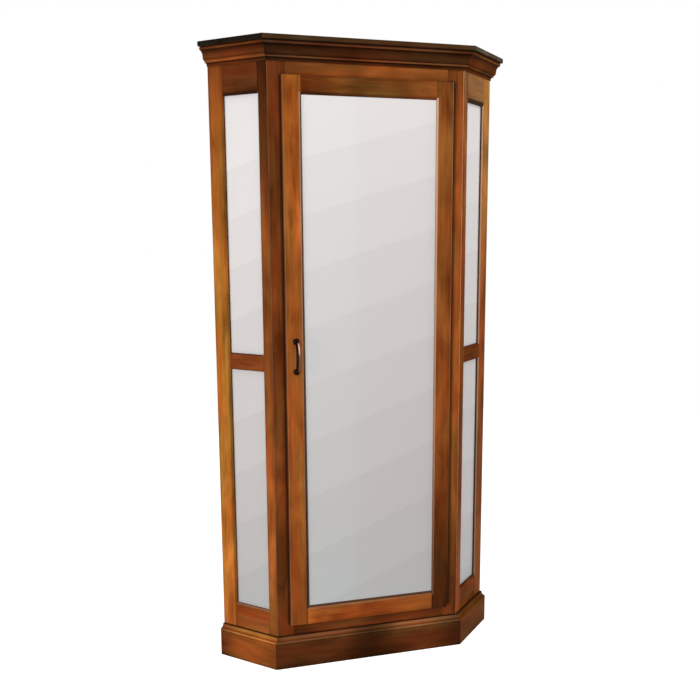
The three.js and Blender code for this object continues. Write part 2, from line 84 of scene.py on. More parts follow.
# %% Camera
PICTURE_PIXELS = 700
FOCAL_PIXELS = 862.45
LENS_AXIS_PIXEL = (370.97, 373.18)  # where the lens axis meets the picture, from its top left
CAMERA_PLACE = Vector((-0.7571, -2.9437, 1.4305))
CAMERA_PAN = math.radians(-16.04)
CAMERA_TILT = math.radians(-9.34)
CAMERA_ROLL = math.radians(-0.09)
SENSOR_WIDTH = 36.0

lens = bpy.data.cameras.new("photo_camera")
lens.sensor_width = SENSOR_WIDTH
lens.lens = SENSOR_WIDTH * FOCAL_PIXELS / PICTURE_PIXELS
lens.shift_x = 0.5 - LENS_AXIS_PIXEL[0] / PICTURE_PIXELS
lens.shift_y = LENS_AXIS_PIXEL[1] / PICTURE_PIXELS - 0.5
camera = bpy.data.objects.new("photo_camera", lens)
bpy.context.scene.collection.objects.link(camera)
bpy.context.scene.camera = camera
camera.matrix_world = (
    Matrix.Translation(CAMERA_PLACE)
    @ Matrix.Rotation(CAMERA_PAN, 4, "Z")
    @ Matrix.Rotation(math.pi / 2 + CAMERA_TILT, 4, "X")
    @ Matrix.Rotation(CAMERA_ROLL, 4, "Z")
)
print("lens", round(lens.lens, 2), "mm, shift", round(lens.shift_x, 4), round(lens.shift_y, 4))

# %% [markdown]
# ## Where things are
# The cabinet's own pieces give every place. The faces of the front frame and of the door are read from
# their boxes, and each side has a direction along it and one out of its face.

# %% Places on the cabinet
SIDE_ANGLE = math.radians(45)
FRONT_WIDTH = 0.632  # between the two front corners
UP = Vector((0, 0, 1))
RIGHT = Vector((1, 0, 0))
FORWARD = Vector((0, -1, 0))  # out of the front
INWARD = -FORWARD
SIDES = ((-1, "left"), (1, "right"))
ENDS = ((1, "upper"), (-1, "lower"))

front_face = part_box("face_top_rail")[0].y
door_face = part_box("door_left_stile")[0].y
half_front = FRONT_WIDTH / 2


def side_axes(hand):
    """The directions along a side, from its front corner to the wall, and out of its face"""
    c, s = math.cos(SIDE_ANGLE), math.sin(SIDE_ANGLE)
    return Vector((hand * c, s, 0)), Vector((hand * s, -c, 0))


SIDE_AXES = {word: side_axes(hand) for hand, word in SIDES}
print("front face at y", round(front_face, 4), "and its corners at x", round(half_front, 4))

# %% [markdown]
# ## Working in edit mode
# An operator acts on everything that is selected, so each step starts by deselecting everything. Faces
# are then picked by the way they look, as a hand would click them. A finished piece has its object at
# the origin and its place in its mesh, so that a pattern on it stays where it is.

# %% Selecting and settling
MERGE_DISTANCE = 0.00001
SHARP_ANGLE = math.radians(30)


def select_only(piece):
    """Only this object is selected, and it is the active one"""
    bpy.ops.object.select_all(action="DESELECT")
    piece.select_set(True)
    bpy.context.view_layer.objects.active = piece


def settle(piece):
    """Moves the object's place, turn and scale into its mesh"""
    select_only(piece)
    bpy.ops.object.transform_apply(location=True, rotation=True, scale=True)


def new_piece(name):
    """Names the object that an operator has just made, and settles it"""
    piece = bpy.context.active_object
    piece.name = piece.data.name = name
    settle(piece)
    return piece


def block(name, middle, size, turn=(0, 0, 0)):
    """A plain block"""
    bpy.ops.object.select_all(action="DESELECT")
    bpy.ops.mesh.primitive_cube_add(size=1, location=middle, rotation=turn, scale=size)
    return new_piece(name)


def joined(name, pieces):
    """One piece made of several"""
    select_only(pieces[0])
    for piece in pieces:
        piece.select_set(True)
    bpy.ops.object.join()
    return new_piece(name)


def add_modifier(piece, kind, **settings):
    """Adds a modifier with these settings and applies it"""
    select_only(piece)
    bpy.ops.object.modifier_add(type=kind)
    modifier = piece.modifiers[-1]
    for name, value in settings.items():
        setattr(modifier, name, value)
    bpy.ops.object.modifier_apply(modifier=modifier.name)


@contextmanager
def editing(piece, parts="VERT"):
    """Edit mode on one piece, with everything in it selected at first"""
    select_only(piece)
    bpy.ops.object.mode_set(mode="EDIT")
    bpy.ops.mesh.select_mode(type=parts)
    bpy.ops.mesh.select_all(action="SELECT")
    yield
    bpy.ops.mesh.select_mode(type="VERT")
    bpy.ops.object.mode_set(mode="OBJECT")


def pick_faces(piece, wanted):
    """While editing, selects the faces whose normal passes the test"""
    bpy.ops.mesh.select_all(action="DESELECT")
    bpy.ops.object.mode_set(mode="OBJECT")
    for face in piece.data.polygons:
        face.select = wanted(face.normal)
    bpy.ops.object.mode_set(mode="EDIT")


def extrude(move):
    """While editing, extrudes what is selected and moves it"""
    bpy.ops.mesh.extrude_region_move(TRANSFORM_OT_translate={"value": move})


def ease_edges(piece, width, shortest=0.0):
    """Rounds the long sharp edges, and keeps the flat faces shaded flat"""
    select_only(piece)
    bpy.ops.object.shade_smooth_by_angle(angle=SHARP_ANGLE)
    with editing(piece, "EDGE"):
        bpy.ops.mesh.select_all(action="DESELECT")
        bpy.ops.mesh.edges_select_sharp(sharpness=SHARP_ANGLE)
        bpy.ops.object.mode_set(mode="OBJECT")
        points = piece.data.vertices
        for edge in piece.data.edges:
            a, b = (points[i].co for i in edge.vertices)
            edge.select = edge.select and (a - b).length > shortest
        bpy.ops.object.mode_set(mode="EDIT")
        bpy.ops.mesh.bevel(offset=width, segments=2, affect="EDGES", clamp_overlap=False)
    bpy.ops.object.shade_smooth_by_angle(angle=SHARP_ANGLE)
    add_modifier(piece, "WEIGHTED_NORMAL", keep_sharp=True)


# %% [markdown]
# ## Shader maths as Python
# A material is a tree of nodes. Wrapping a node's output in a small class lets a sum be written as a
# sum: each operator adds one Math node and returns its output, wrapped in turn. Every other node comes
# from one method, which takes the node's type, its settings, and what goes into its sockets.


# %% A wrapped socket
def maths(operation, swapped=False):
    """A method that adds one Math node. A swapped one takes the wire itself as its last value."""

    def method(self, *values):
        values = (*values, self) if swapped else (self, *values)
        return self.add("ShaderNodeMath", {"operation": operation}, dict(enumerate(values)))

    return method


class Wire:
    """The output of a node. Arithmetic on wires adds Math nodes, and add() makes any other node."""

    __add__ = __radd__ = maths("ADD")
    __sub__ = maths("SUBTRACT")
    __rsub__ = maths("SUBTRACT", swapped=True)
    __mul__ = maths("MULTIPLY")
    __truediv__ = maths("DIVIDE")
    __pow__ = maths("POWER")
    __abs__ = maths("ABSOLUTE")
    __ceil__ = maths("CEIL")
    least = maths("MINIMUM")
    most = maths("MAXIMUM")
    sine = maths("SINE")

    def __init__(self, tree, socket=None):
        self.tree = tree
        self.socket = socket

    def add(self, kind, settings=None, inputs=None, output=0):
        node = self.tree.nodes.new(kind)
        for name, value in (settings or {}).items():
            setattr(node, name, value)
        for name, value in (inputs or {}).items():
            if isinstance(value, Wire):
                self.tree.links.new(value.socket, node.inputs[name])
            else:
                node.inputs[name].default_value = value
        return Wire(self.tree, node.outputs[output])

    def where(self):
        """The place of each point of the surface"""
        return self.add("ShaderNodeTexCoord", output="Object")

    def attribute(self, name, output="Vector"):
        """What the mesh carries under this name"""
        return self.add("ShaderNodeAttribute", {"attribute_name": name}, output=output)

    def parts(self):
        """The three numbers of this vector"""
        split = self.add("ShaderNodeSeparateXYZ", inputs={0: self}).socket.node
        return [Wire(self.tree, socket) for socket in split.outputs]

    def step(self, low, high):
        """0 below low and 1 above high, with a soft rise between them"""
        settings = {"interpolation_type": "SMOOTHSTEP", "clamp": True}
        return self.add("ShaderNodeMapRange", settings, {0: self, 1: low, 2: high, 3: 0, 4: 1})

    def noise(self, cells=(1, 1, 1), detail=2.0, roughness=0.5, distortion=0.0):
        """Soft noise from 0 to 1, with this many cells per unit along each axis of this place"""
        place = self.add("ShaderNodeVectorMath", {"operation": "MULTIPLY"}, {0: self, 1: cells})
        inputs = {"Vector": place, "Scale": 1, "Detail": detail}
        inputs |= {"Roughness": roughness, "Distortion": distortion}
        return self.add("ShaderNodeTexNoise", inputs=inputs)

    def fade(self, first, second):
        """The first colour where this number is 0, the second where it is 1"""
        return self.add("ShaderNodeMix", {"data_type": "RGBA"}, {0: self, 6: first, 7: second}, output=2)

    def mixed(self, share, other, blend="MIX"):
        """This colour, with a share of another one laid over it"""
        settings = {"data_type": "RGBA", "blend_type": blend}
        return self.add("ShaderNodeMix", settings, {0: share, 6: self, 7: other}, output=2)


def linear(red, green, blue):
    """A colour as a shader wants it, from its three numbers on screen"""
    parts = [part / 255 for part in (red, green, blue)]
    return (*(p / 12.92 if p <= 0.04045 else ((p + 0.055) / 1.055) ** 2.4 for p in parts), 1.0)


def new_material(name):
    """An empty material, a wire to start from, and its Principled shader"""
    material = bpy.data.materials.new(name)
    material.use_nodes = True
    tree = material.node_tree
    return material, Wire(tree), tree.nodes["Principled BSDF"]


def plug(shader, **values):
    """Sets the shader's sockets to numbers, or joins them to wires"""
    for name, value in values.items():
        socket = shader.inputs[name.replace("_", " ")]
        if isinstance(value, Wire):
            value.tree.links.new(value.socket, socket)
        else:
            socket.default_value = value


def bump(height, strength, distance):
    """A surface normal that follows a height"""
    return height.add("ShaderNodeBump", inputs={"Strength": strength, "Distance": distance, "Height": height})


# %% [markdown]
# ## Stained wood
# The boards are stained from gold to dark brown under a satin lacquer, and no two take the stain alike.
# A wood pattern could be laid on the whole cabinet at once, but then the grain would run straight
# through every joint. Here each board carries its own coordinates as an attribute: across its face,
# through its thickness and along its grain, moved to a part of the tree of its own. Its distances to
# its edges are attributes too, and with them the material knows where an arris is worn and where to
# paint highlights on the arrises and bevels, shade by the windows, the door and in the reveals, and a
# darker band along each long edge.

# %% Stain tones
STAINS = {
    "cap_shade_side": linear(30, 28, 20),
    "cap_light_side": linear(86, 78, 62),
    "bracken": linear(82, 58, 32),
    "bog": linear(50, 32, 17),
    "umber": linear(70, 36, 15),
    "peat": linear(110, 50, 8),
    "olive": linear(104, 56, 8),
    "walnut": linear(90, 46, 19),
    "russet": linear(106, 54, 23),
    "tobacco": linear(112, 66, 27),
    "copper": linear(122, 58, 9),
    "chestnut": linear(122, 63, 26),
    "brick": linear(150, 72, 32),
    "cinnamon": linear(140, 74, 30),
    "amber": linear(156, 85, 34),
    "honey": linear(171, 98, 38),
    "gold": linear(182, 112, 42),
    "flame": linear(200, 112, 48),
    "brass": linear(194, 138, 70),
    "straw": linear(140, 101, 58),
}
# pale rub and painted highlight on the arrises, and painted highlight on the bevels
RUB_AND_HIGHLIGHT = linear(214, 170, 138)
# painted shade by the windows, the door and in the reveals, and the dark line of the joints
SHADE_AND_JOINT_DARK = linear(40, 26, 14)
DEEP_GRAIN = (0.44, 0.38, 0.34, 1)  # these multiply a stain, and their middle leaves it as it is
PALE_GRAIN = (1.56, 1.62, 1.66, 1)
RED_PATCH = (1.08, 0.88, 0.84, 1)
GOLD_PATCH = (0.92, 1.12, 1.16, 1)
# darkens each board towards its long edges
EDGE_DARKENING = (0.42, 0.34, 0.28, 1)
print(len(STAINS), "tones of stain")

# %% The wood's material
PATCH_NUMBERS = (1, 2)  # a board has room for two patches that took more or less stain
# distances from an edge or an end: where each of these starts, and where it is complete
ARRIS_BAND = (0.0008, 0.0032)
OUTER_ARRIS_BAND = (0.0030, 0.0045)
JOINT_DARK = (0.0002, 0.0020)
CORNER_DARK = (0.001, 0.013)
BEVEL_WIDTH = (0.0064, 0.0074)
BEVEL_TOP = (0.0002, 0.0012)
BEVEL_FOOT = (0.0048, 0.0058)
SHADE_END = (-0.010, 0.002)
REVEAL_WIDTH = (0.0001, 0.0009)
REVEAL_TOP = (0.0040, 0.0056)


def stained_wood(name, shade_ramp=None, plain=0.0):
    """Stained and lacquered wood. shade_ramp is a moulding's height and a ramp of painted light and
    shade over it, and plain is how far the mottle gives way to the finer grain of a veneer, from 0 to 1."""
    material, wire, shader = new_material(name)
    board = wire.attribute("board")
    low, high, care, reach = (wire.attribute(word).parts() for word in ("low", "high", "care", "reach"))
    bevel_highlight, shaded, outer_wear_and_highlight = care
    share = low[2] / (low[2] + high[2])
    middle = wire.attribute("middle", "Color")
    stain = wire.attribute("stain", "Color").mixed(share * (1 - share) * 4, middle)
    for number in PATCH_NUMBERS:
        place, width, gain = wire.attribute(f"patch_{number}").parts()
        near = 1 - (abs(share - place) / width).step(0, 1)
        stain = stain.mixed(1.0, near * gain + 1, "MULTIPLY")

    fibre = board.noise((560, 560, 16), 3)
    streak = board.noise((70, 70, 3.0), 3, 0.55, 0.4)
    blotch = board.noise((15, 15, 6), 2, 0.5, 0.6)
    cloud = board.noise((8, 8, 2.2), 1)
    rings = (board.noise((24, 18, 2.0), 2, 0.4, 1.6) * 30).sine() * 0.5 + 0.5
    hue = board.noise((26, 26, 4), 1)
    patchy = board.noise((40, 40, 30), 3).step(0.3, 0.7)

    mottle = 1 - plain * 0.7
    grain = (fibre - 0.5) * (0.3 + plain * 0.6) + (rings - 0.5) * (0.12 + plain * 0.2)
    depth = grain + (streak - 0.5) * 0.65 + (blotch - 0.5) * (1.35 * mottle) + (cloud - 0.5) * mottle
    light = (depth + 0.5).fade(DEEP_GRAIN, PALE_GRAIN)
    warm = hue.step(0.3, 0.7).fade(RED_PATCH, GOLD_PATCH)
    colour = stain.mixed(1.0, light, "MULTIPLY").mixed(mottle, warm, "MULTIPLY")
    # painted light and shade over the moulding's height
    if shade_ramp:
        height, stops = shade_ramp
        ramp = wire.add("ShaderNodeValToRGB", inputs={0: low[0] / height})
        elements = ramp.socket.node.color_ramp.elements
        while len(elements) < len(stops):
            elements.new(1)
        for element, (place, factors) in zip(elements, stops.items()):
            element.position = place
            element.color = (*factors, 1.0) if isinstance(factors, tuple) else (*(factors,) * 3, 1.0)
        colour = colour.mixed(1.0, ramp, "MULTIPLY")

    across, through, along = [a.least(b) for a, b in zip(low, high)]
    arris = across.least(through).most(across.most(through).least(along))
    edge = 1 - arris.step(*ARRIS_BAND)
    outside = (1 - low[0].step(*OUTER_ARRIS_BAND)) * outer_wear_and_highlight
    # the outer arris, worn pale and with a painted highlight
    colour = colour.mixed(edge * outside * (patchy * 0.4 + 0.6), RUB_AND_HIGHLIGHT)
    # a softer painted highlight along every arris
    colour = colour.mixed(edge * patchy * 0.25, RUB_AND_HIGHLIGHT, "SOFT_LIGHT")
    joint = 1 - along.step(*JOINT_DARK)
    colour = colour.mixed(joint * 0.6, SHADE_AND_JOINT_DARK)
    # darker towards each long edge of the board
    corner = 1 - across.step(*CORNER_DARK)
    colour = colour.mixed(corner * 0.28, EDGE_DARKENING, "MULTIPLY")

    # painted highlight on the bevel beside the window
    bevel = (1 - high[0].step(*BEVEL_WIDTH)) * low[1].step(*BEVEL_TOP) * (1 - low[1].step(*BEVEL_FOOT))
    colour = colour.mixed(bevel * bevel_highlight, RUB_AND_HIGHLIGHT)
    # painted shade up to reach from the board's window edge, beside the windows and the door
    painted_shade_band = 1 - (high[0] / reach[0]).step(0.8, 1.2)
    painted_shade_band = painted_shade_band * (low[2] - reach[1]).step(*SHADE_END) * (high[2] - reach[2]).step(*SHADE_END)
    colour = colour.mixed(painted_shade_band * shaded, SHADE_AND_JOINT_DARK)
    # painted shade on the reveal's inner faces, with the darker stain that gathers there
    reveal = (1 - high[0].step(*REVEAL_WIDTH)) * low[1].step(*REVEAL_TOP)
    colour = colour.mixed(reveal * 0.85, SHADE_AND_JOINT_DARK)

    plug(
        shader,
        Base_Color=colour,
        Roughness=0.36 + (fibre - 0.5) * 0.2 + patchy * 0.05,
        Specular_IOR_Level=0.02,
        Coat_Weight=edge * (outside * 0.4 + 0.04) + bevel * bevel_highlight * 0.25,
        Coat_Roughness=0.25,
        Normal=bump(fibre * 0.5 + streak * 0.5, 0.2, 0.0005),
    )
    return material


satin_wood = stained_wood("stained_wood")
veneer = stained_wood("veneered_panel", plain=1.0)
print("wood nodes:", len(satin_wood.node_tree.nodes))

# %% [markdown]
# A moulding's hollows lie in shade and its fillets catch the light. The same wood gets painted light
# and shade for that: a ramp over the moulding's height, dark in the hollows and pale on the fillets,
# and different on each side. A stop of the ramp is a share of the height and what the stain is
# multiplied by there, as one number or as red, green and blue.

# %% Painted light and shade on the mouldings
CORNICE_HEIGHT = 0.0522
PLINTH_HEIGHT = 0.108


def cornice_stops(upper, lower, belly, lower_end=0.26):
    """A cornice's painted light and shade: the factors of its upper and lower fillets and of its belly,
    and the share of the height where the lower fillet ends"""
    stops = {0.00: 1.3, 0.10: 1.1, 0.14: 0.4, 0.18: 0.5, 0.20: lower, lower_end: lower}
    stops |= {lower_end + 0.03: 0.55, lower_end + 0.10: belly, 0.50: belly, 0.68: 0.8, 0.80: 0.4}
    return stops | {0.84: 0.5, 0.86: upper, 0.95: upper, 0.98: 0.5}


def plinth_stops(upper, lower, groove):
    """A plinth's painted light and shade: the factors of its upper and lower fillets and of the groove"""
    stops = {0.00: 0.45, 0.05: 0.9, 0.30: 1.0, 0.78: 1.0, 0.825: 0.8, 0.838: lower, 0.862: lower}
    return stops | {0.872: groove, 0.895: groove * 1.5, 0.925: upper, 0.975: upper, 0.99: 0.6}


CORNICE_SHADE_RAMPS = {
    "front_cornice": cornice_stops((2.6, 3.1, 4.2), (2.6, 2.9, 3.4), 0.95),
    "left_cornice": cornice_stops((1.7, 2.0, 2.1), (2.5, 3.0, 3.2), 1.3, 0.31),
    "right_cornice": cornice_stops((1.6, 2.2, 5.0), (1.3, 1.7, 4.0), 0.95),
}
PLINTH_SHADE_RAMPS = {
    "front_plinth": plinth_stops((2.5, 3.6, 5.4), (2.3, 3.2, 4.4), 1.3),
    "left_plinth": plinth_stops((1.9, 2.5, 2.9), (2.4, 3.2, 3.9), 1.1),
    "right_plinth": plinth_stops((0.8, 0.85, 1.6), (1.1, 1.2, 1.6), 0.7),
}
moulding_woods = {}
for height, shade_ramps in ((CORNICE_HEIGHT, CORNICE_SHADE_RAMPS), (PLINTH_HEIGHT, PLINTH_SHADE_RAMPS)):
    for node, stops in shade_ramps.items():
        moulding_woods[node] = stained_wood(f"{node}_wood", (height, stops))
print("shade_ramped woods:", ", ".join(moulding_woods))

# %% [markdown]
# ## Finishing the boards
# Each board's mesh is copied from the fixed frame, because the frame itself stays as it is. The copy's
# loose triangles are merged, its flat faces are made whole, and its sharp edges are eased by less than
# a millimetre, as sandpaper leaves them. Then it gets its attributes. They are all straight-line
# functions of place, so they stay exact on large flat faces that have points only at their corners.

# %% Copy a board and ease its edges
FLAT_ANGLE = math.radians(0.3)
ARRIS = 0.0008
SHORTEST_ARRIS = 0.012
HINGE_CUT = 0.05  # the edges of a hinge's cut are shorter than this, and stay sharp
CUT_FOR_HINGES = ("face_right_stile", "door_right_stile")
UNMARKED_ENDS = (0.0, 0.0)
WINDOW_SHADE = (0.0093, 0, 0)  # how far the painted shade reaches from the window, and stops before each end
LEVEL_AXES = {"cap": (INWARD, -UP, RIGHT), "deck": (INWARD, -UP, RIGHT), "ceiling": (INWARD, UP, RIGHT)}
NO_PATCH = (0.5, 1.0, 0.0)
PATCHES = {  # where along its grain a board is paler or darker: the place, how far that reaches, the gain
    "face_left_stile": ((0.21, 0.08, -0.4), (0.74, 0.17, -0.28)),
    "left_front_stile": ((0.22, 0.21, 1.35), (0.95, 0.28, -0.3)),
    "left_rear_stile": ((0.2, 0.11, 0.55), (0.665, 0.07, 0.8)),
    "door_left_stile": ((0.75, 0.045, 0.45), (0.66, 0.06, -0.25)),
    "door_right_stile": ((0.12, 0.17, -0.42), (0.9, 0.1, 0.5)),
    "face_right_stile": ((0.13, 0.19, -0.55), (1.0, 0.12, -0.3)),
    "right_front_stile": ((0.29, 0.18, -0.38), (0.78, 0.13, 0.75)),
    "right_rear_stile": ((0.29, 0.11, -0.38), (0.76, 0.11, 0.45)),
    "door_top_rail": ((0.28, 0.14, 0.4), (0.74, 0.14, -0.3)),
    "door_bottom_rail": ((0.37, 0.24, 0.35),),
    "face_bottom_rail": ((0.34, 0.26, 0.4), (0.75, 0.12, 0.25)),
    "front_plinth": ((0.5, 0.16, -0.55), (0.79, 0.22, 0.85)),
    "right_cornice": ((0.1, 0.35, -0.5),),
    "face_top_rail": ((0.42, 0.12, -0.33),),
    "cap": ((0.23, 0.08, -0.45),),
}


def copy_of(node):
    """A piece of the frame as a mesh of its own, with whole faces"""
    select_only(frame["nodes"][node])
    bpy.ops.object.duplicate()
    piece = bpy.context.active_object
    piece.name = piece.data.name = "finished_" + node
    piece.parent = None
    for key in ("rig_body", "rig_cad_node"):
        del piece[key]
    piece.data.materials.clear()
    for layer in list(piece.data.uv_layers):
        piece.data.uv_layers.remove(layer)
    with editing(piece):
        bpy.ops.mesh.remove_doubles(threshold=MERGE_DISTANCE)
        if node not in CUT_FOR_HINGES:
            bpy.ops.mesh.dissolve_limited(angle_limit=FLAT_ANGLE)
    return piece


def board_axes(node):
    """A board's axes, told by its name: across towards its window, in through it, along its grain"""
    if node in LEVEL_AXES:
        return LEVEL_AXES[node]
    group, member = node.split("_", 1)
    run, out = SIDE_AXES.get(group, (RIGHT, FORWARD))
    if member == "back_panel":
        return -out, run, UP
    if member in ("left_stile", "front_stile", "post") or member.endswith("bead"):
        return run, -out, UP
    if member in ("right_stile", "rear_stile"):
        return -run, -out, UP
    return (-UP if member == "top_rail" else UP), -out, run


def write_attribute(piece, name, values):
    """Stores one vector or colour for each of the mesh's points"""
    kind, field = ("FLOAT_VECTOR", "vector") if len(values[0]) == 3 else ("FLOAT_COLOR", "color")
    attribute = piece.data.attributes.new(name, kind, "POINT")
    attribute.data.foreach_set(field, [number for value in values for number in value])


def between(ends, share):
    """The number this far between two ends"""
    return ends[0] + (ends[1] - ends[0]) * share


def mark_board(piece, node, tones, rub_and_highlight, shade, wear_and_highlight, reach):
    """Writes a board's own coordinates, its distances to its edges, its stain, and its wear with painted
    highlight and shade
    """
    luck = random.Random(piece.name)
    start = Vector([luck.uniform(-8, 8) for _ in range(3)])
    axes = board_axes(node)
    places = [Vector([point.co.dot(axis) for axis in axes]) for point in piece.data.vertices]
    least = Vector([min(place[i] for place in places) for i in range(3)])
    most = Vector([max(place[i] for place in places) for i in range(3)])
    shares = [(place[2] - least[2]) / (most[2] - least[2]) for place in places]
    dark = shade if isinstance(shade, tuple) else (shade, shade)
    foot, head = Vector(STAINS[tones[0]]), Vector(STAINS[tones[-1]])
    middle = Vector(STAINS[tones[1]]) if len(tones) == 3 else (foot + head) / 2
    marks = {
        "board": [place + start for place in places],
        "low": [place - least for place in places],
        "high": [most - place for place in places],
        "care": [[between(ends, share) for ends in (rub_and_highlight, dark, wear_and_highlight)] for share in shares],
        "reach": [reach for _ in places],
        "stain": [foot.lerp(head, share) for share in shares],
        "middle": [middle for _ in places],
    }
    for number, patch in zip_longest(PATCH_NUMBERS, PATCHES.get(node, ()), fillvalue=NO_PATCH):
        marks[f"patch_{number}"] = [patch for _ in places]
    for name, values in marks.items():
        write_attribute(piece, name, values)


def dress(piece, material, body, slot, *nodes):
    """Gives the piece its material and body, and lets it stand for these nodes. slot is not used."""
    piece.data.materials.append(material)
    if nodes:
        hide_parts(*nodes)
    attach(piece, body)


def finish_board(
    node, tones=("russet",), rub_and_highlight=UNMARKED_ENDS, shade=0.0, wear_and_highlight=UNMARKED_ENDS, reach=WINDOW_SHADE,
    body="cabinet", slot="wood", material=satin_wood, arris=ARRIS,
):
    """The finished board that stands for a node. Its tones are the stain at the grain's start and end,
    with one for the middle between them if it differs. rub_and_highlight is how pale its bevel is at the
    two ends, a painted highlight, and wear_and_highlight is how worn and highlighted its outer arris is
    there. shade is how dark the painted shade is up to reach from its window, all along or at the two
    ends, where reach also says how far from each end that shade stops."""
    piece = copy_of(node)
    ease_edges(piece, arris, shortest=HINGE_CUT if node in CUT_FOR_HINGES else SHORTEST_ARRIS)
    mark_board(piece, node, tones, rub_and_highlight, shade, wear_and_highlight, reach)
    dress(piece, material, body, slot, node)
    return piece


# %% [markdown]
# ## The door
# A door frame is two stiles that run its whole height, with two rails between them. The grain runs
# along each member, so it turns at every joint. The bead round the pane stays on the inside.

# %% Door frame
DOOR_MEMBERS = {  # tones, rub_and_highlight, shade and wear_and_highlight
    "door_left_stile": (("cinnamon", "amber", "honey"), (0.1, 0.7), 0.0, (0.3, 0.3)),
    "door_right_stile": (("umber", "cinnamon", "tobacco"), (0.1, 0.9), 0.0, (0.0, 0.5)),
    "door_top_rail": (("russet", "tobacco", "cinnamon"), UNMARKED_ENDS, 0.3),
    "door_bottom_rail": (("flame", "cinnamon", "cinnamon"), (0.1, 0.1)),
    "door_bead": (),
}
for node, care in DOOR_MEMBERS.items():
    finish_board(node, *care, body="door")
print("door members:", len(DOOR_MEMBERS))

# %% [markdown]
# ## The front frame and the sides
# The front frame is covered by the door, apart from a strip on each side, above and below. Each side is
# a frame of two stiles and three rails round two panes. The stile that meets the front is narrow, and
# the rear one is wide enough to be scribed to a wall.

# %% Front frame
LEFT_OF_DOOR = 0.0195  # how far the painted shade beside the door reaches from the opening, most of it behind the door
RIGHT_OF_DOOR = 0.0300
UNDER_DOOR = 0.0255
door_box, stile_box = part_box("door_left_stile"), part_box("face_left_stile")
door_ends = (door_box[0].z - stile_box[0].z, stile_box[1].z - door_box[1].z)
ALL_ALONG = (UNDER_DOOR, 0, 0)
BY_LEFT_EDGE = (LEFT_OF_DOOR, *door_ends)
BY_RIGHT_EDGE = (RIGHT_OF_DOOR, *door_ends)
FACE_MEMBERS = {  # tones, rub_and_highlight, shade, wear_and_highlight and reach
    "face_left_stile": (("chestnut", "chestnut", "russet"), UNMARKED_ENDS, 0.85, (0.2, 0.2), BY_LEFT_EDGE),
    "face_right_stile": (("brick", "amber", "cinnamon"), UNMARKED_ENDS, 0.75, (0.5, 1.0), BY_RIGHT_EDGE),
    "face_top_rail": (("russet", "cinnamon", "chestnut"), UNMARKED_ENDS, 0.0, UNMARKED_ENDS, ALL_ALONG),
    "face_bottom_rail": (("walnut", "russet", "russet"), UNMARKED_ENDS, 0.4, UNMARKED_ENDS, ALL_ALONG),
}
for node, care in FACE_MEMBERS.items():
    finish_board(node, *care)
print("the dark beside the door stops", [round(end, 4) for end in door_ends], "from the stiles' ends")

# %% Side frames
# how far the painted shade reaches from the window on these side members
THIN_REVEAL = (0.0022, 0, 0)
WIDE_REVEAL = (0.0070, 0, 0)
TALL_REVEAL = (0.0130, 0, 0)
SIDE_MEMBERS = {  # tones, rub_and_highlight, shade, wear_and_highlight and reach
    "left_front_stile": (("chestnut", "cinnamon", "umber"), (0.9, 0.1)),
    "left_rear_stile": (("flame", "gold", "russet"), UNMARKED_ENDS, (0.6, 0.05), UNMARKED_ENDS, WIDE_REVEAL),
    "left_top_rail": (("russet", "walnut"), UNMARKED_ENDS, 0.8),
    "left_mid_rail": (("brick",), UNMARKED_ENDS, 0.5, UNMARKED_ENDS, THIN_REVEAL),
    "left_bottom_rail": (("brick", "cinnamon"), (0.25, 0.25)),
    "left_upper_bead": (),
    "left_lower_bead": (),
    "right_front_stile": (("brick", "copper", "straw"), (0.0, 0.1)),
    "right_rear_stile": (("russet", "cinnamon", "brass"), (0.3, 0.9), 0.3, UNMARKED_ENDS, THIN_REVEAL),
    "right_top_rail": (("straw",), UNMARKED_ENDS, 0.9, UNMARKED_ENDS, TALL_REVEAL),
    "right_mid_rail": (("peat",),),
    "right_bottom_rail": (("copper", "olive"),),
    "right_upper_bead": (),
    "right_lower_bead": (),
}
for node, care in SIDE_MEMBERS.items():
    finish_board(node, *care)
print("side members, with the beads:", len(SIDE_MEMBERS))

# %% [markdown]
# ## Cornice, cap and plinth
# The mouldings are mitred at the front corners, with the grain along each length. The cap is a flat
# board that covers the cornice, and it took much more stain than the rest. Each of its faces is toned
# by the way it looks, as painted light and shade: darkest on the face that looks left, palest on the
# one that looks right.

# %% Mouldings
MOULDING_ARRIS = 0.0005
CAP_ROUND = 0.003
FACING = 0.5  # a face looks along an axis if its unit normal has more than this of it
MOULDING_STAINS = {
    "front_cornice": ("bog", "umber", "umber"),
    "front_plinth": ("walnut", "umber"),
    "left_cornice": ("umber", "russet", "walnut"),
    "left_plinth": ("chestnut", "amber", "russet"),
    "right_cornice": ("peat", "olive"),
    "right_plinth": ("olive",),
}
for node, tones in MOULDING_STAINS.items():
    finish_board(node, tones, material=moulding_woods[node], arris=MOULDING_ARRIS)
cap = finish_board("cap", ("umber",), arris=CAP_ROUND)


def cap_tone_by_light(normal):
    """The cap's tone on a face that looks this way: painted light and shade"""
    if abs(normal.z) > FACING:
        return "bog"
    if normal.x < -FACING:
        return "cap_shade_side"
    return "cap_light_side" if normal.x > FACING else "bracken"


tones = {}  # each point takes the tone of the largest face that it belongs to
for face in sorted(cap.data.polygons, key=lambda face: -face.area):
    for point in face.vertices:
        tones.setdefault(point, STAINS[cap_tone_by_light(face.normal)])
flat = [part for point in sorted(tones) for part in tones[point]]
for name in ("stain", "middle"):
    cap.data.attributes[name].data.foreach_set("color", flat)
print("cap points:", len(tones))

# %% [markdown]
# ## Back, deck and ceiling
# The boards that show only when the door is open, or from behind, are plainer: thin back panels, a
# square post in the corner between them, and a deck and a ceiling that hold the frame square.

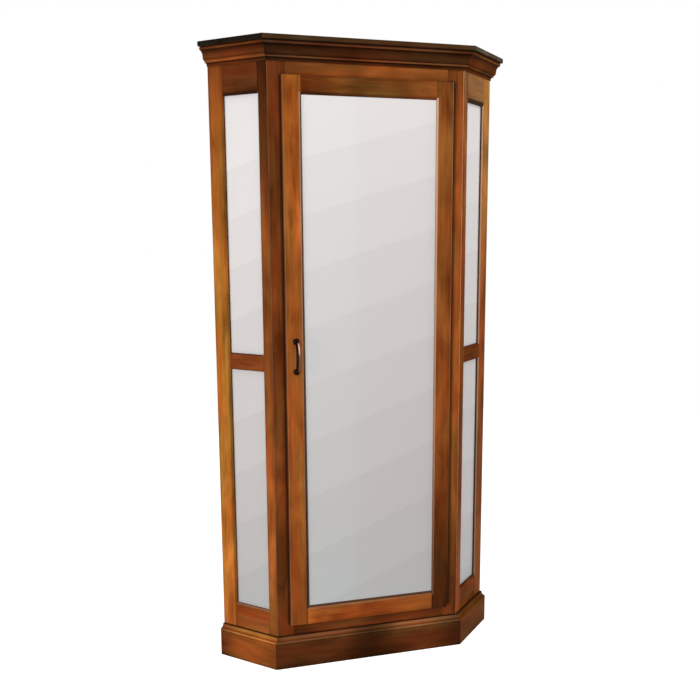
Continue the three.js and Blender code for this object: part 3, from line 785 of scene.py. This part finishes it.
# %% Inside boards
PANEL_ARRIS = 0.0004
INSIDE_PANELS = {
    "deck": ("russet",),
    "ceiling": ("russet",),
    "left_back_panel": ("amber", "cinnamon"),
    "right_back_panel": ("amber", "cinnamon"),
}
for node, tones in INSIDE_PANELS.items():
    finish_board(node, tones, material=veneer, arris=PANEL_ARRIS, slot="veneered_panel")
finish_board("rear_post")
print("inside panels:", ", ".join(INSIDE_PANELS))

# %% [markdown]
# ## The panes
# The panes are painted pale and opaque, which hides the shelves, and carry a painted reflection. Its
# grey deepens in clear steps from the top to the foot, and the steps lean, each pane's in its own way.
# A smooth ramp would lose the edges of the steps, so the height, corrected for the lean, is turned into
# a whole number of steps first. The steps also grow a little taller towards the foot, which the root
# of a square equation allows for.

# %% Painted reflection on the panes
ROOT_HALF = math.sqrt(0.5)
REFLECTION_FOOT = (0.15, 0.55)  # the heights between which the painted reflection's foot ends
ROSY = 5.0  # how much stronger the reflection's red is above its foot, in screen levels
WASH = 3.5  # how much of that the neutral part of the door's makes up for
WASHED = (-0.074, -0.025)  # across the door, where that part ends
BLUE_LOSS = 1.5
SCREEN_GAMMA = 2.2
REFLECTION_GAIN = 0.98
BARE_START = -0.2088  # across the door, where its painted reflection starts
BARE_FOOT = 0.2115
BARE_EDGE = 0.001
BARE_LEAN = 0.0028  # the bare strip at the left narrows upwards
BARE_RISE = (0.3, 1.8)  # the heights of its two colours
BARE_LOW = linear(84, 58, 38)
BARE_HIGH = linear(136, 124, 105)


def pane_reflection(name, hand, lean, fan, first_edge, pitch, growth, top_level, step, foot_gain=0.0):
    """A pane's painted reflection, on an opaque pale pane. hand is the pane's side, or 0 for the door. lean
    and fan are the steps' slope, first_edge is the height of the highest step, and pitch and growth say
    how far down the others follow. top_level is the highest step's tone and step how much darker each
    is, in screen levels. The foot gains a little light again. On the door it is neutral at the left, and
    left out in a strip along the left and the foot, which is brown at the foot and grey higher up."""
    material, wire, shader = new_material(name)
    x, y, z = wire.where().parts()
    u = (y + x * hand) * ROOT_HALF - (half_front + front_face) * ROOT_HALF if hand else x
    level_height = (z + u * lean) / (u * fan + 1)
    drop = (first_edge - level_height).most(0)
    steps = math.ceil(((drop * (4 * growth) + pitch**2) ** 0.5 - pitch) / (2 * growth))
    above_foot = z.step(*REFLECTION_FOOT)
    level = top_level - steps * step + (1 - above_foot) * foot_gain
    cool = level + (1 - u.step(*WASHED)) * WASH if hand == 0 else level
    levels = {0: level + above_foot * ROSY, 1: cool, 2: cool - BLUE_LOSS}
    tones = {channel: (part / 255) ** SCREEN_GAMMA * REFLECTION_GAIN for channel, part in levels.items()}
    colour = wire.add("ShaderNodeCombineColor", inputs=tones)
    if hand == 0:
        covered = (u + z * BARE_LEAN).step(BARE_START - BARE_EDGE, BARE_START)
        covered = covered * z.step(BARE_FOOT - BARE_EDGE, BARE_FOOT)
        colour = z.step(*BARE_RISE).fade(BARE_LOW, BARE_HIGH).mixed(covered, colour)
    plug(shader, Base_Color=colour, Roughness=0.16, Specular_IOR_Level=0.3)
    return material


def refinish(node, material):
    """Gives a piece of the frame a material of this script's, and keeps its shape"""
    slots = frame["nodes"][node].data.materials
    slots.clear()
    slots.append(material)


DOOR_STEPS = {"lean": -0.451, "fan": -0.1006, "first_edge": 1.709, "pitch": 0.166, "growth": 0.0016}
LEFT_STEPS = {"lean": 0.650, "fan": 0.204, "first_edge": 1.667, "pitch": 0.145, "growth": 0.0021}
RIGHT_STEPS = {"lean": 0.298, "fan": 0.2995, "first_edge": 1.667, "pitch": 0.154, "growth": 0.0027}
door_film = pane_reflection("door_film", 0, top_level=228, step=4.5, foot_gain=6.0, **DOOR_STEPS)
left_pane_reflection = pane_reflection("left_side_film", -1, top_level=239, step=5.5, foot_gain=4.0, **LEFT_STEPS)
right_pane_reflection = pane_reflection("right_side_film", 1, top_level=240, step=5.2, **RIGHT_STEPS)
refinish("door_glass", door_film)
for _, part in ENDS:
    refinish(f"left_{part}_glass", left_pane_reflection)
    refinish(f"right_{part}_glass", right_pane_reflection)
print("panes with a film: 5")

# %% [markdown]
# ## Metals
# The pull is cast bronze, browned almost black. The side towards +X is worn back to a pinkish metal
# and carries a painted highlight, brightest in its upper part. The screws, hinges and shelf standards
# are plain steel: blackened where they show, and bright zinc on the inside. A metal's colour comes
# from its reflections, so each gets its variation from roughness as much as from colour.

# %% Metal materials
BROWNED = linear(18, 6, 5)
BROWNED_PALE = linear(38, 12, 9)
BRONZE_RUB_HIGHLIGHT = linear(232, 186, 174)
BRONZE_DULL = linear(120, 92, 84)
BRONZE_HIGHLIGHT_SIDE = (0.0004, 0.0016)  # from the middle of the bow, where the worn and highlighted side starts and is whole


def browned_bronze(centre, half_height):
    """Dark bronze, worn pale and painted with a highlight on the side towards +X, most in the upper third"""
    material, wire, shader = new_material("browned_bronze")
    place = wire.where()
    x, _, z = place.parts()
    speckle = place.noise((900, 900, 900), 3)
    cloudy = place.noise((140, 140, 90))
    height = (z - centre.z) / half_height
    side = ((x - centre.x) + (cloudy - 0.5) * 0.0012).step(*BRONZE_HIGHLIGHT_SIDE)
    rub_and_highlight = side * (1 - (height * height).step(0.72, 1.0))
    # brighter upwards, as a painted highlight
    bright = height.step(0.05, 0.5).fade(BRONZE_DULL, BRONZE_RUB_HIGHLIGHT)
    plug(
        shader,
        Base_Color=speckle.fade(BROWNED, BROWNED_PALE).mixed(rub_and_highlight, bright),
        Metallic=0.3 + rub_and_highlight * 0.4,
        Roughness=0.46 - rub_and_highlight * 0.14 + (speckle - 0.5) * 0.15,
        Specular_IOR_Level=0.12,
        Normal=bump(speckle, 0.15, 0.0002),
    )
    return material


def plain_finish(name, deep, pale, metallic, roughness, brushed=(300, 300, 300)):
    """A metal or a plastic with clouded colour, fine brushing and a few darker spots"""
    material, wire, shader = new_material(name)
    place = wire.where()
    brush = place.noise(brushed, 3)
    clouds = place.noise((60, 60, 60)).step(0.25, 0.75)
    spots = place.noise((420, 420, 420)).step(0.62, 0.72)
    base = (clouds * 0.6 + brush * 0.4).fade(linear(*deep), linear(*pale))
    plug(
        shader,
        Base_Color=base.mixed(spots * 0.35, linear(*deep)),
        Metallic=metallic,
        Roughness=roughness + (brush - 0.5) * 0.2 + spots * 0.1,
        Normal=bump(brush, 0.12, 0.0002),
    )
    return material


PLAIN_FINISHES = {  # the deep and the pale colour, how metallic and how rough, and the brushing
    "blackened_steel": ((30, 20, 14), (62, 44, 32), 0.6, 0.5),
    "zinc_steel": ((128, 130, 132), (186, 188, 188), 0.9, 0.32, (700, 700, 60)),
    "browned_screw": ((48, 32, 22), (96, 70, 48), 0.7, 0.4),
    "brown_plastic": ((48, 32, 22), (66, 46, 32), 0.0, 0.5),
    "magnet": ((40, 38, 38), (70, 66, 64), 0.3, 0.6),
}
finishes = {name: plain_finish(name, *look) for name, look in PLAIN_FINISHES.items()}
print("plain finishes:", ", ".join(finishes))

# %% [markdown]
# ## The pull
# The pull is one casting: two domed feet and an arched bow between them. A lathe profile could give the
# feet and a curve the bow. Here both start from a flat disc and are built up as a potter would, ring by
# ring: extrude, then resize or turn the new ring. The bow's disc is turned a little at each step, so
# that it leaves one foot square to the door and meets the other in the same way.


# %% Turned pieces
def disc_at(name, base, facing, radius, points):
    """A flat disc whose face looks this way"""
    bpy.ops.object.select_all(action="DESELECT")
    place = {"location": base, "rotation": facing.to_track_quat("Z", "Y").to_euler()}
    bpy.ops.mesh.primitive_circle_add(vertices=points, radius=radius, fill_type="NGON", **place)
    return new_piece(name)


def close_up(piece, angle=35):
    """Merges doubles, turns all faces outwards and shades the piece smooth up to an angle"""
    with editing(piece):
        bpy.ops.mesh.remove_doubles(threshold=MERGE_DISTANCE)
        bpy.ops.mesh.normals_make_consistent(inside=False)
    bpy.ops.object.shade_smooth_by_angle(angle=math.radians(angle))


def turned(name, base, facing, profile, points=32):
    """A round solid from a profile of heights over its base and radii"""
    piece = disc_at(name, base, facing, profile[0][1], points)
    with editing(piece):
        for (height, radius), (next_height, next_radius) in zip(profile, profile[1:]):
            extrude(facing * (next_height - height))
            share = next_radius / radius
            centre = base + facing * next_height
            bpy.ops.transform.resize(value=(share, share, share), center_override=centre)
    close_up(piece)
    return piece


# %% Feet and bow
pull_low, pull_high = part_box("door_pull")
pull_middle = Vector(((pull_low.x + pull_high.x) / 2, door_face, (pull_low.z + pull_high.z) / 2))
PULL_HALF = 0.048  # half of the distance between the feet
FOOT_HEIGHTS = (0.0, 0.0004, 0.0022, 0.0026, 0.0028, 0.0045, 0.0063, 0.0080, 0.0095, 0.0106, 0.0110)
FOOT_RADII = (0.0094, 0.0101, 0.0102, 0.0098, 0.0097, 0.0096, 0.0091, 0.0083, 0.0073, 0.0060, 0.0048)
BOW_DISC = 0.0125
BOW_NARROW = 0.86  # the bow's width at its feet, as a share of the disc
BOW_SWELL = 0.16  # how much wider it is at its middle
BOW_THICKNESS = 0.0065
BOW_INNER = 0.00775  # from the door to the middle of the bow's ends
BOW_STEPS = 28
bow_rise = door_face - pull_low.y - BOW_THICKNESS / 2 - BOW_INNER


def bow_turn(step):
    """The place on the half ellipse of the bow, from 0 to half a turn"""
    return math.pi * step / BOW_STEPS


def bow_place(step):
    """The middle of the bow at one of its steps"""
    out = BOW_INNER + bow_rise * math.sin(bow_turn(step))
    return pull_middle + FORWARD * out - UP * (PULL_HALF * math.cos(bow_turn(step)))


def bow_angle(step):
    """How far the bow has turned there from square to the door"""
    return math.atan2(PULL_HALF * math.sin(bow_turn(step)), bow_rise * math.cos(bow_turn(step)))


bow = disc_at("pull_bow", bow_place(0), FORWARD, BOW_DISC / 2, points=20)
with editing(bow):
    flat = (BOW_NARROW, 1, BOW_THICKNESS / BOW_DISC)
    bpy.ops.transform.resize(value=flat, center_override=bow_place(0))
    for step in range(BOW_STEPS):
        here, ahead = bow_place(step), bow_place(step + 1)
        extrude(ahead - here)
        bend = bow_angle(step + 1) - bow_angle(step)
        bpy.ops.transform.rotate(value=bend, orient_axis="X", center_override=ahead)
        swell = 1 + BOW_SWELL * (math.sin(bow_turn(step + 1)) - math.sin(bow_turn(step)))
        bpy.ops.transform.resize(value=(swell, 1, 1), center_override=ahead)
close_up(bow, angle=60)

foot_profile = list(zip(FOOT_HEIGHTS, FOOT_RADII))
feet = [
    turned(f"pull_foot_{word}", pull_middle + UP * (PULL_HALF * up), FORWARD, foot_profile)
    for up, word in ENDS
]
pull = joined("finished_door_pull", [bow, *feet])
dress(pull, browned_bronze(pull_middle, PULL_HALF), "door", "bronze", "door_pull")
print("pull size", [round(side, 4) for side in pull.dimensions])
print("of", [round(side, 4) for side in pull_high - pull_low])

# %% [markdown]
# ## Screws
# Every screw here has a slotted head. One is made at the origin: a low dome is built up from a disc, and
# a thin bar is taken out of it for the slot. Then it is copied to each place and turned there, so that
# no two slots stand alike.

# %% A screw head and its copies
SLOT_DEPTH = 0.0009


def slotted_head(name, radius, height, slot_width):
    """A domed screw head at the origin, facing up, with a slot across it"""
    profile = [(0, radius), (height * 0.35, radius), (height * 0.62, radius * 0.9)]
    profile += [(height * 0.85, radius * 0.68), (height, radius * 0.38)]
    head = turned(name, Vector((0, 0, 0)), UP, profile, points=28)
    bar = block("slot_bar", (0, 0, height), (radius * 3, slot_width, SLOT_DEPTH * 2))
    add_modifier(head, "BOOLEAN", object=bar, operation="DIFFERENCE", solver="EXACT")
    select_only(bar)
    bpy.ops.object.delete()
    close_up(head)
    return head


def copy_at(piece, name, place, facing, spin):
    """A copy with its own mesh, moved and turned so that its top looks this way"""
    select_only(piece)
    bpy.ops.object.duplicate()
    twin = new_piece(name)
    turn = facing.to_track_quat("Z", "Y").to_matrix() @ Matrix.Rotation(spin, 3, "Z")
    twin.rotation_euler = turn.to_euler()
    twin.location = place
    settle(twin)
    return twin


HEAD_HEIGHT = 0.0022
wood_screw = slotted_head("wood_screw", radius=0.0026, height=0.0009, slot_width=0.0007)
machine_screw = slotted_head("machine_screw", radius=0.0040, height=HEAD_HEIGHT, slot_width=0.0010)
print("screw heads have", len(wood_screw.data.polygons), "and", len(machine_screw.data.polygons), "faces")

# %% Screws of the pull
SHANK_RADIUS = 0.0020
TIP_RADIUS = 0.0016
TIP_HEIGHT = 0.0006
SHANK_IN_HEAD = 0.0004
spins = random.Random("screws")
for up, word in ENDS:
    low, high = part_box(f"pull_{word}_screw")
    place = Vector((pull_middle.x, high.y - HEAD_HEIGHT, pull_middle.z + PULL_HALF * up))
    head = copy_at(machine_screw, f"pull_{word}_screw_head", place, INWARD, spins.uniform(0, 3))
    tip = Vector((pull_middle.x, low.y, place.z))
    length = place.y - low.y + SHANK_IN_HEAD
    profile = [(0, TIP_RADIUS), (TIP_HEIGHT, SHANK_RADIUS), (length, SHANK_RADIUS)]
    shank = turned(f"pull_{word}_shank", tip, INWARD, profile, points=20)
    screw = joined(f"finished_pull_{word}_screw", [head, shank])
    dress(screw, finishes["browned_screw"], "door", "steel", f"pull_{word}_screw")
print("screws of the pull: 2")

# %% [markdown]
# ## Pivot hinges
# Each hinge has a leaf let into the frame, a leaf let into the door's end, and a pin through both. The
# leaves are already cut to size, so they only lose their sharp edges. Two small screws hold each leaf.

# %% Hinges
EASED_STEEL = 0.0003
EASED_PIN = 0.0002
SCREW_SINK = 0.0006  # how much of a wood screw's head lies in the leaf
FRAME_SCREWS = (0.42, 0.82)  # the screws' places along the frame leaf, and then along the door leaf
DOOR_SCREWS = (0.2, 0.6)


def finish_metal(node, body, width=EASED_STEEL):
    """A finished copy of a piece of blackened steel, with its edges eased"""
    piece = copy_of(node)
    ease_edges(piece, width, shortest=width * 3)
    dress(piece, finishes["blackened_steel"], body, "steel", node)


def add_screw(name, place, facing, body):
    """A wood screw, turned by chance"""
    screw = copy_at(wood_screw, name, place, facing, spins.uniform(0, 3))
    dress(screw, finishes["blackened_steel"], body, "steel")


for up, word in ENDS:
    finish_metal(f"{word}_hinge_frame_leaf", "cabinet")
    finish_metal(f"{word}_hinge_door_leaf", "door")
    finish_metal(f"{word}_hinge_pin", "cabinet", EASED_PIN)
    low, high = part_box(f"{word}_hinge_frame_leaf")
    heights = (high.z, low.z) if up > 0 else (low.z, high.z)
    for number, share in enumerate(FRAME_SCREWS, 1):
        place = ((low.x + high.x) / 2, front_face - SCREW_SINK / 3, between(heights, share))
        add_screw(f"{word}_frame_leaf_screw_{number}", place, FORWARD, "cabinet")
    low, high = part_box(f"{word}_hinge_door_leaf")
    end = (high.z if up > 0 else low.z) - up * SCREW_SINK
    for number, share in enumerate(DOOR_SCREWS, 1):
        place = (between((low.x, high.x), share), (low.y + high.y) / 2, end)
        add_screw(f"{word}_door_leaf_screw_{number}", place, UP * up, "door")
print("hinges: 2, with 8 screws")

# %% [markdown]
# ## The catch
# A magnetic catch holds the door shut. Its housing is brown plastic with a magnet between two steel
# plates that reach its front. On the housing's front face an inset and an extrusion inwards make the
# pocket, and the plates and the magnet are small eased bars that lie in it.

# %% Catch and strike
CATCH_WALL = 0.0018
POCKET_DEPTH = 0.004
BAR_BACK = 0.0045  # how far behind the catch's front the plates and the magnet end
PLATE_SIDE = (0.0024, 0.0042)  # from the catch's side to a plate's two sides
PLATE_FRONT = 0.0001
PLATE_END = 0.006
MAGNET_FRONT = 0.0009
MAGNET_END = 0.009
EASED_PLASTIC = 0.0006


def small_bar(name, low, high, finish, slot):
    """A bar of the catch between two corners, with eased edges"""
    low, high = Vector(low), Vector(high)
    bar = block(name, (low + high) / 2, high - low)
    ease_edges(bar, EASED_STEEL)
    dress(bar, finishes[finish], "cabinet", slot)


catch_low, catch_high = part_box("catch_body")
housing = copy_of("catch_body")
with editing(housing, "FACE"):
    pick_faces(housing, lambda normal: normal.y < -0.9)
    bpy.ops.mesh.inset(thickness=CATCH_WALL)
    extrude((0, POCKET_DEPTH, 0))
ease_edges(housing, EASED_PLASTIC)
dress(housing, finishes["brown_plastic"], "cabinet", "catch", "catch_body")

back = catch_low.y + BAR_BACK
left_plate = [catch_low.x + side for side in PLATE_SIDE]
right_plate = [catch_high.x - side for side in reversed(PLATE_SIDE)]
for number, (left, right) in enumerate((left_plate, right_plate), 1):
    low = (left, catch_low.y + PLATE_FRONT, catch_low.z + PLATE_END)
    high = (right, back, catch_high.z - PLATE_END)
    small_bar(f"catch_plate_{number}", low, high, "zinc_steel", "steel")
magnet_low = (left_plate[1], catch_low.y + MAGNET_FRONT, catch_low.z + MAGNET_END)
magnet_high = (right_plate[0], back, catch_high.z - MAGNET_END)
small_bar("catch_magnet", magnet_low, magnet_high, "magnet", "catch")
finish_metal("catch_strike", "door")
print("catch box", tuple(catch_low), tuple(catch_high))

# %% [markdown]
# ## Standards and shelves
# Four slotted steel strips carry the shelves on bent clips. A strip's slots repeat every few
# centimetres, so one short length is modelled with its slot and an Array modifier repeats it, with its
# ends merged. The ends between lengths are open, and only the two outer ones are closed afterwards.

# %% Slotted strips
SLOT_PITCH = 0.02
SLOT_LENGTH = 0.010
SLOT_WIDTH = 0.0032
SLOT_INSET = 0.003
SLOT_CUT = 0.6  # how deep a slot is, as a share of the strip's depth
STRIP_MERGE = 0.00005
STRIP_WIDTH = 0.012
STRIP_DEPTH = 0.005
standard_low, standard_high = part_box("left_front_standard")
strip_height = standard_high.z - standard_low.z
slot_count = round(strip_height / SLOT_PITCH)


def slotted_strip(name, foot, across, facing, turn):
    """A strip that stands on a foot point, with a row of slots in the face that looks this way"""
    pitch = strip_height / slot_count
    strip = block(name, (0, 0, 0), (STRIP_WIDTH, STRIP_DEPTH, pitch))
    with editing(strip, "FACE"):
        pick_faces(strip, lambda normal: abs(normal.z) > 0.9)
        bpy.ops.mesh.delete(type="ONLY_FACE")
        pick_faces(strip, lambda normal: normal.y > 0.9)
        bpy.ops.mesh.inset(thickness=SLOT_INSET)
        inner_width, inner_height = STRIP_WIDTH - 2 * SLOT_INSET, pitch - 2 * SLOT_INSET
        slot = (SLOT_WIDTH / inner_width, 1, SLOT_LENGTH / inner_height)
        bpy.ops.transform.resize(value=slot, center_override=(0, 0, 0))
        extrude((0, -STRIP_DEPTH * SLOT_CUT, 0))
    array = {"count": slot_count, "use_relative_offset": False, "use_constant_offset": True}
    array |= {"constant_offset_displace": (0, 0, pitch)}
    array |= {"use_merge_vertices": True, "merge_threshold": STRIP_MERGE}
    add_modifier(strip, "ARRAY", **array)
    with editing(strip):
        bpy.ops.mesh.fill_holes(sides=4)
    strip.rotation_euler = turn
    strip.location = foot + across * (STRIP_WIDTH / 2) - facing * (STRIP_DEPTH / 2) + UP * (pitch / 2)
    settle(strip)
    close_up(strip)
    return strip


print("slots in each strip:", slot_count)

# %% Standards with clips
SHELVES = [f"shelf_{number}" for number in range(1, 6)]
FRONT_STRIP = (0.01028, 0.02528)  # along the side from its front corner, and inwards from its face
REAR_STRIP = (0.2107, 0.420)
CLIP_WIDTH = STRIP_WIDTH - 0.002
CLIP_REACH = 0.022  # in front of its strip
CLIP_ROOT = 0.002  # inside its strip
CLIP_THICKNESS = 0.003
CLIP_GAP = 0.00003  # under a shelf
EASED_CLIP = 0.0007
for hand, word in SIDES:
    run, out = SIDE_AXES[word]
    corner = Vector((hand * half_front, front_face, standard_low.z))
    for name, spot, across, facing in (("front", FRONT_STRIP, run, -out), ("rear", REAR_STRIP, -out, -run)):
        foot = corner + run * spot[0] - out * spot[1]
        turn = facing.to_track_quat("Y", "Z").to_euler()
        pieces = [slotted_strip(f"{word}_{name}_strip", foot, across, facing, turn)]
        for shelf in SHELVES:
            middle = foot + across * (STRIP_WIDTH / 2) + facing * ((CLIP_REACH - CLIP_ROOT) / 2)
            middle.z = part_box(shelf)[0].z - CLIP_GAP - CLIP_THICKNESS / 2
            clip = block("clip", middle, (CLIP_WIDTH, CLIP_REACH + CLIP_ROOT, CLIP_THICKNESS), turn)
            ease_edges(clip, EASED_CLIP)
            pieces.append(clip)
        standard = joined(f"finished_{word}_{name}_standard", pieces)
        dress(standard, finishes["zinc_steel"], "cabinet", "steel", f"{word}_{name}_standard")
print("standards: 4, each with", len(SHELVES), "clips")

# %% [markdown]
# ## Glass shelves
# Thick glass looks clear across its face and greener along its edge, because there it is seen through
# its whole width. Glass with a faint green body shows both, if it really transmits light. The edges
# are ground smooth.

# %% Shelf glass
EASED_GLASS = 0.0012
clear_glass, wire, shader = new_material("shelf_glass")
haze = wire.where().noise((9, 9, 9), 3).step(0.35, 0.8)
plug(
    shader,
    Base_Color=wire.where().noise((3, 3, 3)).fade(linear(206, 226, 218), linear(222, 236, 230)),
    Roughness=0.03 + haze * 0.06,
    Transmission_Weight=0.92,
    IOR=1.52,
)
for shelf in SHELVES:
    sheet = copy_of(shelf)
    ease_edges(sheet, EASED_GLASS)
    dress(sheet, clear_glass, "cabinet", "shelf_glass", shelf)
print("shelves:", len(SHELVES))

# %% [markdown]
# ## Felt pads
# Two felt dots on the front frame keep the door from knocking. Each is a low disc with a soft rim.

# %% Felt pads
FELT_PROFILE = [(0, 0.0044), (0.0003, 0.0048), (0.0011, 0.0048), (0.0016, 0.0044), (0.00175, 0.0036)]
FELT_FROM_SIDE = 0.010
FELT_FROM_END = 0.012
felt, wire, shader = new_material("brown_felt")
fluff = wire.where().noise((1500, 1500, 1500), 4)
colour = fluff.fade(linear(48, 34, 24), linear(96, 74, 54))
plug(shader, Base_Color=colour, Roughness=0.95, Specular_IOR_Level=0.1, Normal=bump(fluff, 0.8, 0.0004))
felt_x = door_box[0].x + FELT_FROM_SIDE
for height, word in ((door_box[0].z + FELT_FROM_END, "lower"), (door_box[1].z - FELT_FROM_END, "upper")):
    dot = turned(f"{word}_felt_dot", Vector((felt_x, front_face, height)), FORWARD, FELT_PROFILE, 24)
    dress(dot, felt, "cabinet", "catch")
for piece in (wood_screw, machine_screw):
    select_only(piece)
    bpy.ops.object.delete()
print("felt dots: 2")

# %% [markdown]
# ## Stage and light
# The photograph has a white ground with no shadow to speak of. A pale floor that glows faintly comes
# close to that and still shows where the cabinet stands. A tall soft light at the right draws the
# highlights down the edges, one above draws them along the mouldings, and the sky around fills the
# rest.

# %% Floor, sky and lights
FLOOR_SIZE = 7.0
WHITE = (1, 1, 1, 1)
FLOOR_PALE = (0.32, 0.32, 0.32, 1)
FLOOR_DEEP = (0.3, 0.3, 0.3, 1)
FLOOR_GLOW = 0.28
SEEN_GLOW = 0.75  # how much more the floor glows for the camera
SKY_LIGHT = 0.2
SEEN_SKY = 0.8  # how much more of the sky the camera sees
bpy.ops.object.select_all(action="DESELECT")
bpy.ops.mesh.primitive_plane_add(size=FLOOR_SIZE)
floor = new_piece("studio_floor")
floor_paint, wire, shader = new_material("pale_floor")
paint = wire.where().noise().fade(FLOOR_DEEP, FLOOR_PALE)
plug(shader, Base_Color=paint, Roughness=0.9, Specular_IOR_Level=0.0)
seen = wire.add("ShaderNodeLightPath", output="Is Camera Ray")
plug(shader, Emission_Color=WHITE, Emission_Strength=seen * SEEN_GLOW + FLOOR_GLOW)
floor.data.materials.append(floor_paint)

scene = bpy.context.scene
scene.view_settings.view_transform = "Standard"
sky = bpy.data.worlds.new("studio_sky")
sky.use_nodes = True
scene.world = sky
seen = Wire(sky.node_tree).add("ShaderNodeLightPath", output="Is Camera Ray")
plug(sky.node_tree.nodes["Background"], Color=WHITE, Strength=seen * SEEN_SKY + SKY_LIGHT)

LIT_PLACE = Vector((0, 0, 1.0))
SOFT_LIGHTS = {  # the place, the width and height, and the power
    "right_softbox": ((3.2, -0.9, 1.3), (1.4, 2.6), 40),
    "left_softbox": ((-3.4, -1.6, 1.2), (1.2, 2.4), 36),
    "front_softbox": ((-2.0, -4.4, 0.8), (2.0, 2.0), 68),
    "top_softbox": ((0.3, -2.4, 3.6), (2.6, 1.4), 40),
    "back_softbox": ((0.5, 3.6, 2.2), (2.5, 2.0), 35),
}
for name, (place, size, power) in SOFT_LIGHTS.items():
    data = bpy.data.lights.new(name, "AREA")
    data.shape = "RECTANGLE"
    data.size, data.size_y = size
    data.energy = power
    light = bpy.data.objects.new(name, data)
    scene.collection.objects.link(light)
    light.location = place
    light.rotation_euler = (Vector(place) - LIT_PLACE).to_track_quat("Z", "Y").to_euler()
    light.visible_camera = False
print("soft lights:", len(SOFT_LIGHTS))
